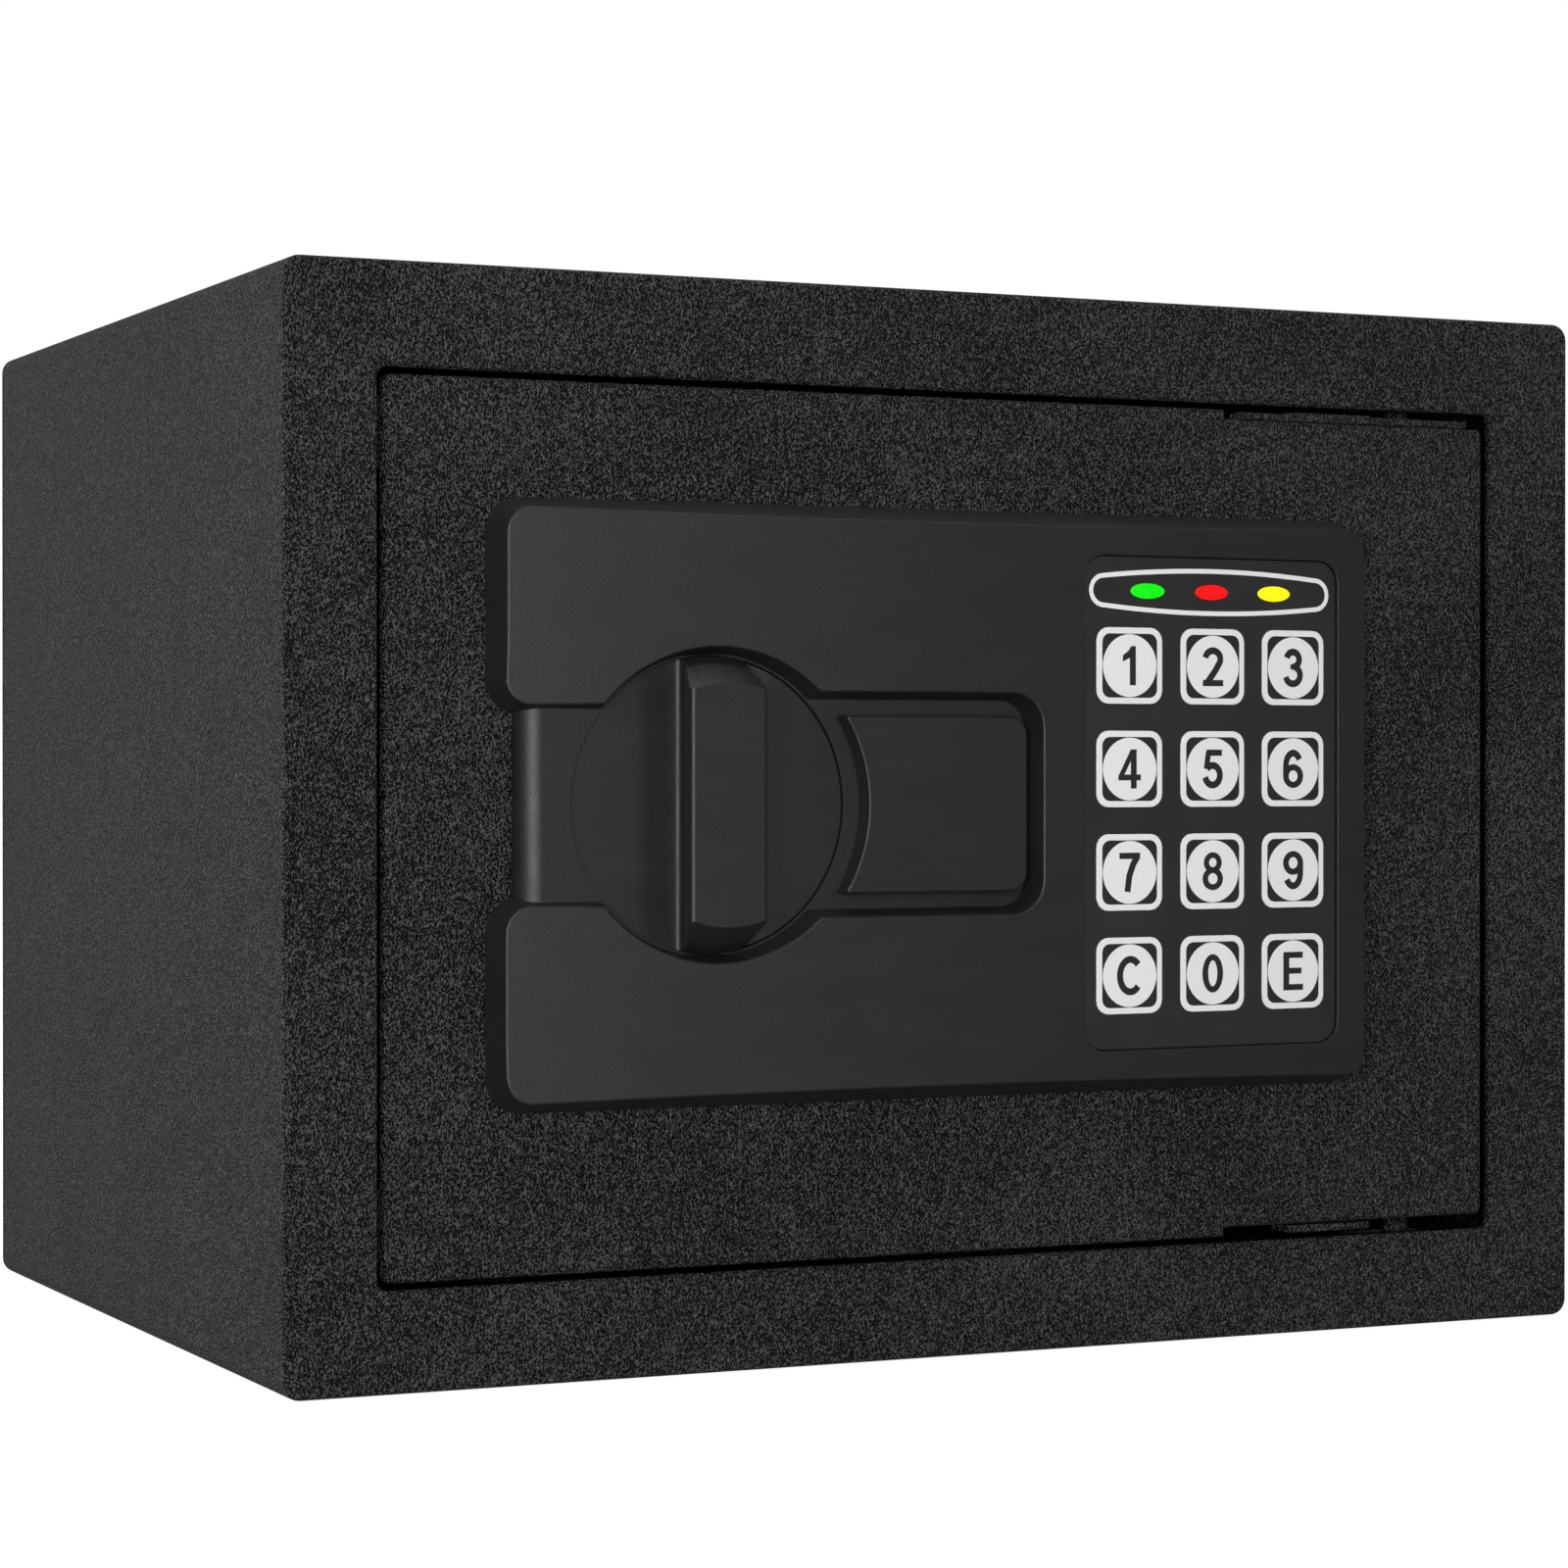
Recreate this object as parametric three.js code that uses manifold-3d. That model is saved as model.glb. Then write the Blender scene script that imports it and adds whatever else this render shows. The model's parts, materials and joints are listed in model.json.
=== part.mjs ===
// A small electronic security safe: a folded steel cabinet, a flush steel door hung on two hidden
// pivots, a moulded lock panel with a turning knob and a keypad, and the bolt work behind the door.
// Millimetres. X runs to the right, Y into the cabinet, Z up. The origin is the centre of the base.
// Rest: door shut, bolts drawn back, knob grip upright.
import * as THREE from "three";
import { mergeVertices } from "three/addons/utils/BufferGeometryUtils.js";
import Module from "manifold-3d";

const wasm = await Module();
wasm.setup();

// ---- Driving dimensions -------------------------------------------------------------------------
const WIDTH = 230;
const DEPTH = 170;
const HEIGHT = 170;
const GAP = 0.3; // between pieces that touch
const SHEET = 1.5; // cabinet sheet steel
const PLATE = 3; // front frame and door steel
const CABINET_RADIUS = 2.7;

const FRONT = -DEPTH / 2;
const BACK = DEPTH / 2;
const MID_Z = HEIGHT / 2;

const OPENING = { left: -100.2, right: 99.2, low: 15.6, high: 154.0, radius: 1.6 };
const DOOR = { left: -99.1, right: 97.5, low: 16.6, high: 153.0, radius: 1.2 };
const DOOR_MID_Z = (DOOR.low + DOOR.high) / 2;
const NOTCH_START = 46.8; // the door's long edges step back from here to the hinge side
const NOTCH_DEPTH = 1.5;
const ANCHOR_RADIUS = 4.5;
const ANCHOR_X = 50;
const ANCHOR_Y = 10;

// The hinge: two pins on one upright axis behind the door plate
const PIVOT = { x: 85, y: FRONT + 7.5 };
const PIN_RADIUS = 2;
const BORE_RADIUS = 2.3;
const BOSS_RADIUS = 4;
const LUG = { left: 59.5, right: 75.2 };

// The lock panel: its face is a shallow cylinder, highest near the middle
const LOCK_Z = 88.25; // height of the knob, the recess and the middle of the panel
const PANEL = { left: -83.3, right: 72, halfHeight: 46.8, radius: 5.6, draft: 0.3 };
const PANEL_MID_X = (PANEL.left + PANEL.right) / 2;
const CROWN_HEIGHT = 8.75;
const CROWN_RADIUS = 907;
const POCKET_DRAFT = 0.27;
const WELL_DRAFT = 0.2;
const FLOOR_HEIGHT = 4; // floor of the channel and recess above the door
const CHANNEL = { left: -79, halfHeight: 13.7, endRadius: 3.5 };
const RECESS = { right: 7.1, halfHeight: 16.55, radius: 4.6 };
const WELL_RADIUS = 23.2;

const KNOB = { x: -47.9, radius: 22.85, rim: 3.2, back: 0.6, top: 11.8 };
const GRIP = { footHalf: 4.9, topHalf: 6.4, footEnd: 23.1, topEnd: 18.6, footHeight: 5.1 };
const SCOOP = { halfWidth: 10.5, depth: 1.2 }; // finger scoop either side of the grip

const COVER = { right: 5.7, halfHeight: 13.85, height: 7.7, radius: 3 };
const COVER_ARC = 25.5; // the cover's hollow edge runs round the knob
const LOCK_X = -10;

const OVERLAY = { x: 40.2, z: LOCK_Z + 0.05, width: 48.8, height: 79.2, radius: 3.5 };
const OVERLAY_SINK = 0.5; // overlay surface below the panel face
const OVERLAY_THICKNESS = 0.8;
const KEY = { size: 12.3, radius: 2.2, pitchX: 15.87, pitchZ: 16.6, x: 40.1, z: LOCK_Z - 2.8 };
const KEY_THICKNESS = 2.2;
const KEY_CLEARANCE = 0.35;
const LED = { x: [27.65, 39.9, 52.15], z: LOCK_Z + 34.15, halfWidth: 3.2, halfHeight: 1.25 };
const WINDOW_RELIEF = 0.3;
const KEYPAD_CAVITY = { halfWidth: 26, halfHeight: 41.5, depth: 3.2 };

// The bolt work
const THROW = 12;
const BOLT = { radius: 7, tip: -97, tail: -66.3, y: FRONT + 15, spacing: 60 };
const CARRIAGE = { left: -66, right: -36, low: LOCK_Z - 38.5, high: LOCK_Z + 38.5, sheet: 2.5 };
const WEB_Y = FRONT + 21.5; // front of the carriage's upright web
const CRANK_RADIUS = THROW; // a swing of 30 degrees either side of upright
const CRANK_ANGLE = Math.PI / 6;
const CRANK_PIN_RADIUS = 2.5;
const CRANK_Y = FRONT + 17;
const TONGUE = { low: LOCK_Z - 22, high: LOCK_Z - 14, right: 8 };
const PLUNGER = { x: -12, y: WEB_Y + 1.25, radius: 3, low: 44 };

// The housing behind the door
const HOUSING = { left: -90, right: 75, low: 28, high: 142, back: -42, sheet: 1.2 };
const HOUSING_FLANGE = { left: -60, right: 50, width: 8 };
const SCREW_X = [-45, 38];
const BATTERY = { radius: 7.25, length: 50.5, pitch: 15, x: 35.5, z: 62, y: -51.2 };
const BATTERY_BOX = { halfWidth: 30.5, halfHeight: 31.5, front: -60.5, wall: 1.5 };
const LID = { halfWidth: 32, halfHeight: 33.5 };

// ---- Finishes -----------------------------------------------------------------------------------
const finish = (color, roughness, metalness) =>
  new THREE.MeshStandardMaterial({ color, roughness, metalness });
const POWDER_COAT = finish(0x2e2e2f, 0.7, 0.1);
const PANEL_PLASTIC = finish(0x2b2b2c, 0.5, 0);
const OVERLAY_FILM = finish(0x262627, 0.45, 0);
const KEY_WHITE = finish(0xe4e5e6, 0.5, 0);
const ZINC = finish(0xb4b6b8, 0.35, 0.9);
const STEEL = finish(0x9a9c9f, 0.3, 1);
const BRASS = finish(0xb59a55, 0.35, 1);
const FELT = finish(0x3a3b3e, 0.95, 0);
const BOARD_GREEN = finish(0x1c5a33, 0.5, 0);
const COPPER = finish(0x9c5a35, 0.4, 0.6);
const CELL_WRAP = finish(0x2f4f7c, 0.4, 0.2);
const LED_COLORS = { green: 0x1fe01f, red: 0xf01818, yellow: 0xf6ee12 };

// ---- Solid helpers ------------------------------------------------------------------------------
function solid(geometry) {
  const bare = geometry.clone();
  bare.deleteAttribute("normal");
  bare.deleteAttribute("uv");
  const merged = mergeVertices(bare, 1e-4);
  return new wasm.Manifold(
    new wasm.Mesh({
      numProp: 3,
      vertProperties: new Float32Array(merged.attributes.position.array),
      triVerts: new Uint32Array(merged.index.array),
    }),
  );
}

function geometryOf(manifold) {
  const mesh = manifold.getMesh();
  const positions = new Float32Array(mesh.numVert * 3);
  for (let i = 0; i < mesh.numVert; i++) {
    for (let axis = 0; axis < 3; axis++) {
      positions[3 * i + axis] = mesh.vertProperties[mesh.numProp * i + axis];
    }
  }
  const geometry = new THREE.BufferGeometry();
  geometry.setAttribute("position", new THREE.BufferAttribute(positions, 3));
  geometry.setIndex(new THREE.BufferAttribute(mesh.triVerts, 1));
  return geometry;
}

const join = (first, ...rest) => rest.reduce((sum, next) => sum.add(next), first);
const cut = (first, ...rest) => rest.reduce((sum, next) => sum.subtract(next), first);

function box(x0, x1, y0, y1, z0, z1) {
  const geometry = new THREE.BoxGeometry(x1 - x0, y1 - y0, z1 - z0);
  geometry.translate((x0 + x1) / 2, (y0 + y1) / 2, (z0 + z1) / 2);
  return solid(geometry);
}

// A rounded rectangle as a list of points, counter-clockwise
function roundedRectangle(x0, x1, z0, z1, radius, steps = 5) {
  const corners = [
    [x1 - radius, z0 + radius, -Math.PI / 2],
    [x1 - radius, z1 - radius, 0],
    [x0 + radius, z1 - radius, Math.PI / 2],
    [x0 + radius, z0 + radius, Math.PI],
  ];
  return corners.flatMap(([cx, cz, start]) =>
    Array.from({ length: steps + 1 }, (_, i) => {
      const angle = start + (i / steps) * (Math.PI / 2);
      return new THREE.Vector2(cx + radius * Math.cos(angle), cz + radius * Math.sin(angle));
    }),
  );
}

function circlePoints(x, z, radius, steps = 48) {
  return Array.from({ length: steps }, (_, i) => {
    const angle = (i / steps) * 2 * Math.PI;
    return new THREE.Vector2(x + radius * Math.cos(angle), z + radius * Math.sin(angle));
  });
}

// An outline in X and Z, extruded in Y from y0 to y1
function slab(points, y0, y1) {
  const geometry = new THREE.ExtrudeGeometry(new THREE.Shape(points), {
    depth: y1 - y0,
    bevelEnabled: false,
  });
  geometry.rotateX(Math.PI / 2);
  geometry.translate(0, y1, 0);
  return solid(geometry);
}

// Two outlines with equal numbers of points, joined by a straight wall: the first at y0, the second
// behind it at y1
function loft(frontPoints, y0, backPoints, y1) {
  const count = frontPoints.length;
  const positions = [];
  for (const point of frontPoints) positions.push(point.x, y0, point.y);
  for (const point of backPoints) positions.push(point.x, y1, point.y);
  const faces = THREE.ShapeUtils.triangulateShape(frontPoints, []);
  const indices = [];
  for (const [a, b, c] of faces) {
    indices.push(a, b, c);
    indices.push(count + c, count + b, count + a);
  }
  for (let i = 0; i < count; i++) {
    const next = (i + 1) % count;
    indices.push(i, count + next, next);
    indices.push(i, count + i, count + next);
  }
  const geometry = new THREE.BufferGeometry();
  geometry.setAttribute("position", new THREE.Float32BufferAttribute(positions, 3));
  geometry.setIndex(indices);
  return solid(geometry);
}

function cylinder(axis, radius, centre, from, to, steps = 24) {
  const geometry = new THREE.CylinderGeometry(radius, radius, to - from, steps);
  const middle = (from + to) / 2;
  if (axis === "x") geometry.rotateZ(Math.PI / 2);
  if (axis === "z") geometry.rotateX(Math.PI / 2);
  if (axis === "x") geometry.translate(middle, centre[0], centre[1]);
  if (axis === "y") geometry.translate(centre[0], middle, centre[1]);
  if (axis === "z") geometry.translate(centre[0], centre[1], middle);
  return solid(geometry);
}

const group = new THREE.Group();

function add(name, manifold, material) {
  const mesh = new THREE.Mesh(geometryOf(manifold), material);
  mesh.name = name;
  group.add(mesh);
}

// Runs a maker for the upper piece and again, mirrored about the door's middle, for the lower one
function upperAndLower(make) {
  const upper = make();
  const lower = upper.mirror([0, 0, 1]).translate([0, 0, 2 * DOOR_MID_Z]);
  return { upper, lower };
}

// ---- Cabinet ------------------------------------------------------------------------------------
function cabinetOutline(inset) {
  return roundedRectangle(
    -WIDTH / 2 + inset,
    WIDTH / 2 - inset,
    inset,
    HEIGHT - inset,
    CABINET_RADIUS - inset,
  );
}

function anchorHoles(axis, across, from, to) {
  return [-ANCHOR_X, ANCHOR_X].map((x) =>
    cylinder(axis, ANCHOR_RADIUS, [x, across], from, to, 16),
  );
}

function makeCabinet() {
  const front = FRONT + PLATE + GAP;
  const back = BACK - SHEET - GAP;
  const wrap = cut(
    slab(cabinetOutline(0), front, back),
    slab(cabinetOutline(SHEET), front - 1, back + 1),
    ...anchorHoles("z", ANCHOR_Y, -1, SHEET + 1),
  );
  add("cabinet_wrap", wrap, POWDER_COAT);

  const opening = roundedRectangle(
    OPENING.left,
    OPENING.right,
    OPENING.low,
    OPENING.high,
    OPENING.radius,
  );
  const frame = cut(
    slab(cabinetOutline(0), FRONT, FRONT + PLATE),
    slab(opening, FRONT - 1, FRONT + PLATE + 1),
  );
  add("front_frame", frame, POWDER_COAT);

  const rear = cut(
    slab(cabinetOutline(0), BACK - SHEET, BACK),
    ...anchorHoles("y", MID_Z, BACK - SHEET - 1, BACK + 1),
  );
  add("rear_panel", rear, POWDER_COAT);
}

function makeHingeSockets() {
  const block = { halfWidth: 7, back: 11, low: 155, bore: 163 };
  const sockets = upperAndLower(() =>
    cut(
      box(
        PIVOT.x - block.halfWidth,
        PIVOT.x + block.halfWidth,
        FRONT + PLATE + GAP,
        FRONT + PLATE + block.back,
        block.low,
        HEIGHT - SHEET - GAP - 0.4,
      ),
      cylinder("z", BORE_RADIUS, [PIVOT.x, PIVOT.y], block.low - 1, block.bore, 24),
    ),
  );
  add("upper_hinge_socket", sockets.upper, ZINC);
  add("lower_hinge_socket", sockets.lower, ZINC);
}

function makeDoorStops() {
  const stop = { left: -106, right: -96, low: 139, high: 150, thickness: 2 };
  const start = FRONT + PLATE + GAP;
  const stops = upperAndLower(() =>
    box(stop.left, stop.right, start, start + stop.thickness, stop.low, stop.high),
  );
  add("upper_door_stop", stops.upper, POWDER_COAT);
  add("lower_door_stop", stops.lower, POWDER_COAT);
}

function makeFloorMat() {
  const mat = { halfWidth: 111, front: -66, back: 81, thickness: 2, radius: 3, hole: 7 };
  const low = SHEET + GAP;
  const outline = roundedRectangle(-mat.halfWidth, mat.halfWidth, mat.front, mat.back, mat.radius);
  const geometry = new THREE.ExtrudeGeometry(new THREE.Shape(outline), {
    depth: mat.thickness,
    bevelEnabled: false,
  });
  geometry.translate(0, 0, low);
  const holes = [-ANCHOR_X, ANCHOR_X].map((x) =>
    cylinder("z", mat.hole, [x, ANCHOR_Y], low - 1, low + mat.thickness + 1, 24),
  );
  add("floor_mat", cut(solid(geometry), ...holes), FELT);
}

// ---- Door plate and hinge -----------------------------------------------------------------------
const BARREL_RADIUS = 9;
const BUSH_RADIUS = 6.3;
const CABLE_HOLE_RADIUS = 5;

function makeDoorPlate() {
  const outline = roundedRectangle(DOOR.left, DOOR.right, DOOR.low, DOOR.high, DOOR.radius);
  const behind = FRONT + PLATE + 1;
  const notches = upperAndLower(() =>
    box(NOTCH_START, DOOR.right + 1, FRONT - 1, behind, DOOR.high - NOTCH_DEPTH, DOOR.high + 1),
  );
  const screwHoles = housingScrews().map(([x, z]) =>
    cylinder("y", 2.2, [x, z], FRONT + PLATE - 2, behind, 16),
  );
  const plate = cut(
    slab(outline, FRONT, FRONT + PLATE),
    notches.upper,
    notches.lower,
    cylinder("y", BUSH_RADIUS + GAP, [KNOB.x, LOCK_Z], FRONT - 1, behind),
    cylinder("y", BARREL_RADIUS + GAP, [LOCK_X, LOCK_Z], FRONT - 1, behind),
    cylinder("y", CABLE_HOLE_RADIUS, [OVERLAY.x, LOCK_Z], FRONT - 1, behind, 16),
    ...screwHoles,
  );
  add("door_plate", plate, POWDER_COAT);
}

function makeHingeArms() {
  const arm = { left: 57, low: 143, high: DOOR.high - NOTCH_DEPTH - 0.2, thickness: 3 };
  const start = FRONT + PLATE + GAP;
  const arms = upperAndLower(() =>
    cut(
      join(
        box(arm.left, PIVOT.x, start, start + arm.thickness, arm.low, arm.high),
        box(LUG.left, LUG.right, FRONT + 0.5, start + arm.thickness, arm.high - 1, DOOR.high),
        cylinder("z", BOSS_RADIUS, [PIVOT.x, PIVOT.y], arm.low, arm.high),
      ),
      box(LUG.left - 1, LUG.right + 1, FRONT, start, arm.high - 2, DOOR.high - NOTCH_DEPTH + GAP),
      cylinder("z", BORE_RADIUS, [PIVOT.x, PIVOT.y], arm.low - 1, arm.high + 1, 24),
    ),
  );
  add("upper_hinge_arm", arms.upper, POWDER_COAT);
  add("lower_hinge_arm", arms.lower, POWDER_COAT);

  const pins = upperAndLower(() =>
    cylinder("z", PIN_RADIUS, [PIVOT.x, PIVOT.y], arm.low + 1, 162, 24),
  );
  add("upper_hinge_pin", pins.upper, POWDER_COAT);
  add("lower_hinge_pin", pins.lower, POWDER_COAT);
}

// ---- Lock panel ---------------------------------------------------------------------------------
const crownHeight = (x) =>
  CROWN_HEIGHT -
  CROWN_RADIUS +
  Math.sqrt(CROWN_RADIUS * CROWN_RADIUS - (x - PANEL_MID_X) * (x - PANEL_MID_X));

// Everything from the panel's crowned face, lowered by `sink`, back to the height `low` off the door
function crownBlock(sink, low, steps = 20) {
  const reach = (PANEL.right - PANEL.left) / 2 + 2;
  const points = [];
  for (let i = 0; i <= steps; i++) {
    const x = PANEL_MID_X - reach + (2 * reach * i) / steps;
    points.push(new THREE.Vector2(x, FRONT - crownHeight(x) + sink));
  }
  points.push(new THREE.Vector2(PANEL_MID_X + reach, FRONT - low));
  points.push(new THREE.Vector2(PANEL_MID_X - reach, FRONT - low));
  const geometry = new THREE.ExtrudeGeometry(new THREE.Shape(points), {
    depth: 2 * PANEL.halfHeight + 4,
    bevelEnabled: false,
  });
  geometry.translate(0, 0, LOCK_Z - PANEL.halfHeight - 2);
  return solid(geometry);
}

// A rounded block on the door whose walls lean in as they rise
function draftedBlock(x0, x1, z0, z1, radius, height) {
  const inset = PANEL.draft * height;
  return loft(
    roundedRectangle(x0 + inset, x1 - inset, z0 + inset, z1 - inset, radius - inset),
    FRONT - height,
    roundedRectangle(x0, x1, z0, z1, radius),
    FRONT - GAP,
  );
}

// The cutter for a pocket whose walls lean out as they rise from the pocket's floor
function pocketCutter(footPoints, mouthPoints) {
  return loft(mouthPoints, FRONT - CROWN_HEIGHT - 1, footPoints, FRONT - FLOOR_HEIGHT);
}

function recessCutter() {
  const grow = POCKET_DRAFT * (CROWN_HEIGHT + 1 - FLOOR_HEIGHT);
  const outline = (out) =>
    roundedRectangle(
      KNOB.x,
      RECESS.right + out,
      LOCK_Z - RECESS.halfHeight - out,
      LOCK_Z + RECESS.halfHeight + out,
      RECESS.radius + out,
    );
  return pocketCutter(outline(0), outline(grow));
}

function wellCutter() {
  const grow = WELL_DRAFT * (CROWN_HEIGHT + 1 - FLOOR_HEIGHT);
  return join(
    pocketCutter(
      circlePoints(KNOB.x, LOCK_Z, WELL_RADIUS, 64),
      circlePoints(KNOB.x, LOCK_Z, WELL_RADIUS + grow, 64),
    ),
    slab(circlePoints(KNOB.x, LOCK_Z, WELL_RADIUS, 64), FRONT - FLOOR_HEIGHT - 0.5, FRONT + 1),
  );
}

// The floor of the channel, rounded down to the door at its open left end
function channelFloor() {
  const points = [new THREE.Vector2(CHANNEL.left, FRONT - GAP)];
  const radius = CHANNEL.endRadius;
  const lean = CHANNEL.left + 0.6;
  for (let i = 0; i <= 6; i++) {
    const angle = (i / 6) * (Math.PI / 2);
    points.push(
      new THREE.Vector2(
        lean + radius - radius * Math.cos(angle),
        FRONT - FLOOR_HEIGHT + radius - radius * Math.sin(angle),
      ),
    );
  }
  points.push(new THREE.Vector2(RECESS.right + 5, FRONT - FLOOR_HEIGHT));
  points.push(new THREE.Vector2(RECESS.right + 5, FRONT - GAP));
  const geometry = new THREE.ExtrudeGeometry(new THREE.Shape(points.reverse()), {
    depth: 2 * CHANNEL.halfHeight + 8,
    bevelEnabled: false,
  });
  geometry.translate(0, 0, LOCK_Z - CHANNEL.halfHeight - 4);
  return solid(geometry);
}

function keyOutline(x, z, out = 0) {
  const half = KEY.size / 2 + out;
  return roundedRectangle(x - half, x + half, z - half, z + half, KEY.radius + out, 3);
}

function ledOutline(x, out = 0) {
  return Array.from({ length: 20 }, (_, i) => {
    const angle = (i / 20) * 2 * Math.PI;
    return new THREE.Vector2(
      x + (LED.halfWidth + out) * Math.cos(angle),
      LED.z + (LED.halfHeight + out) * Math.sin(angle),
    );
  });
}

// Key names and places, row by row from the top
const KEY_ROWS = [
  ["1", "2", "3"],
  ["4", "5", "6"],
  ["7", "8", "9"],
  ["c", "0", "e"],
];
const KEYS = KEY_ROWS.flatMap((row, r) =>
  row.map((name, c) => ({
    name,
    x: KEY.x + (c - 1) * KEY.pitchX,
    z: KEY.z + (1.5 - r) * KEY.pitchZ,
  })),
);

function keypadOpenings(out) {
  return [
    ...KEYS.map(({ x, z }) => slab(keyOutline(x, z, out), FRONT - 12, FRONT)),
    ...LED.x.map((x) => slab(ledOutline(x, out), FRONT - 12, FRONT)),
  ];
}

function overlayOutline(out) {
  return roundedRectangle(
    OVERLAY.x - OVERLAY.width / 2 - out,
    OVERLAY.x + OVERLAY.width / 2 + out,
    OVERLAY.z - OVERLAY.height / 2 - out,
    OVERLAY.z + OVERLAY.height / 2 + out,
    OVERLAY.radius + out,
  );
}

function makeLockPanel() {
  const rise = CROWN_HEIGHT + 1;
  const low = LOCK_Z - PANEL.halfHeight;
  const high = LOCK_Z + PANEL.halfHeight;
  const lobes = join(
    draftedBlock(PANEL.left, PANEL.right, LOCK_Z + CHANNEL.halfHeight, high, PANEL.radius, rise),
    draftedBlock(PANEL.left, PANEL.right, low, LOCK_Z - CHANNEL.halfHeight, PANEL.radius, rise),
    draftedBlock(RECESS.right - 20, PANEL.right, low, high, PANEL.radius, rise),
    channelFloor(),
  );
  const cavity = box(
    OVERLAY.x - KEYPAD_CAVITY.halfWidth,
    OVERLAY.x + KEYPAD_CAVITY.halfWidth,
    FRONT - KEYPAD_CAVITY.depth,
    FRONT,
    OVERLAY.z - KEYPAD_CAVITY.halfHeight,
    OVERLAY.z + KEYPAD_CAVITY.halfHeight,
  );
  const hollows = [1, -1].map((side) => {
    const middle = LOCK_Z + side * 33;
    return box(-76, 4, FRONT - 3.4, FRONT, middle - 6, middle + 6);
  });
  const sunkFace = OVERLAY_SINK + OVERLAY_THICKNESS + GAP;
  const overlayPocket = slab(overlayOutline(0.25), FRONT - 12, FRONT).subtract(
    crownBlock(sunkFace, -5),
  );
  const panel = cut(
    lobes.intersect(crownBlock(0, GAP)),
    recessCutter(),
    wellCutter(),
    cavity,
    ...hollows,
    overlayPocket,
    ...keypadOpenings(KEY_CLEARANCE),
    cylinder("y", BARREL_RADIUS + GAP, [LOCK_X, LOCK_Z], FRONT - 6, FRONT + 1),
  );
  add("lock_panel", panel, PANEL_PLASTIC);
}

function makeKeypad() {
  const film = crownBlock(OVERLAY_SINK, -5)
    .subtract(crownBlock(OVERLAY_SINK + OVERLAY_THICKNESS, -6))
    .intersect(slab(overlayOutline(0), FRONT - 12, FRONT));
  add("keypad_overlay", cut(film, ...keypadOpenings(KEY_CLEARANCE)), OVERLAY_FILM);

  for (const { name, x, z } of KEYS) {
    const cap = crownBlock(OVERLAY_SINK - 0.1, -5)
      .subtract(crownBlock(OVERLAY_SINK - 0.1 + KEY_THICKNESS, -6))
      .intersect(slab(keyOutline(x, z), FRONT - 12, FRONT));
    add("key_" + name, cap, KEY_WHITE);
  }

  Object.entries(LED_COLORS).forEach(([name, color], i) => {
    const lens = crownBlock(OVERLAY_SINK - WINDOW_RELIEF, -5)
      .subtract(crownBlock(OVERLAY_SINK - WINDOW_RELIEF + KEY_THICKNESS, -6))
      .intersect(slab(ledOutline(LED.x[i]), FRONT - 12, FRONT));
    add("led_" + name, lens, finish(color, 0.3, 0));
  });

  const board = { halfWidth: 25, halfHeight: 40.5, front: 2.2, thickness: 1.6 };
  add(
    "keypad_board",
    box(
      OVERLAY.x - board.halfWidth,
      OVERLAY.x + board.halfWidth,
      FRONT - board.front,
      FRONT - board.front + board.thickness,
      OVERLAY.z - board.halfHeight,
      OVERLAY.z + board.halfHeight,
    ),
    BOARD_GREEN,
  );
}

// ---- Knob ---------------------------------------------------------------------------------------
// The grip is wider at its top than at its foot, and a cone round the knob's axis trims its ends
function makeGrip() {
  const foot = FRONT - KNOB.rim + SCOOP.depth + 0.2;
  const top = FRONT - KNOB.top;
  const flare = (GRIP.topHalf - GRIP.footHalf) / (KNOB.top - GRIP.footHeight);
  const halfAt = (y) => GRIP.footHalf + flare * (FRONT - GRIP.footHeight - y);
  const bar = loft(
    roundedRectangle(
      KNOB.x - halfAt(top),
      KNOB.x + halfAt(top),
      LOCK_Z - GRIP.footEnd,
      LOCK_Z + GRIP.footEnd,
      0.5,
      2,
    ),
    top,
    roundedRectangle(
      KNOB.x - halfAt(foot),
      KNOB.x + halfAt(foot),
      LOCK_Z - GRIP.footEnd,
      LOCK_Z + GRIP.footEnd,
      0.5,
      2,
    ),
    foot,
  );
  const profile = [
    new THREE.Vector2(0, 0),
    new THREE.Vector2(KNOB.radius - 0.3, 0),
    new THREE.Vector2(KNOB.radius - 0.3, GRIP.footHeight),
    new THREE.Vector2(GRIP.topEnd, KNOB.top),
    new THREE.Vector2(0, KNOB.top),
  ];
  const cone = new THREE.LatheGeometry(profile, 64);
  cone.rotateX(Math.PI); // the lathe's axis now points out of the door
  cone.translate(KNOB.x, FRONT, LOCK_Z);
  return bar.intersect(solid(cone));
}

// A long round groove down the disc, which leaves the grip standing in its middle
function makeScoop() {
  const { halfWidth, depth } = SCOOP;
  const radius = (halfWidth * halfWidth + depth * depth) / (2 * depth);
  const centreY = FRONT - KNOB.rim + depth - radius;
  const length = KNOB.radius + 1;
  return cylinder("z", radius, [KNOB.x, centreY], LOCK_Z - length, LOCK_Z + length, 96);
}

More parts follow.
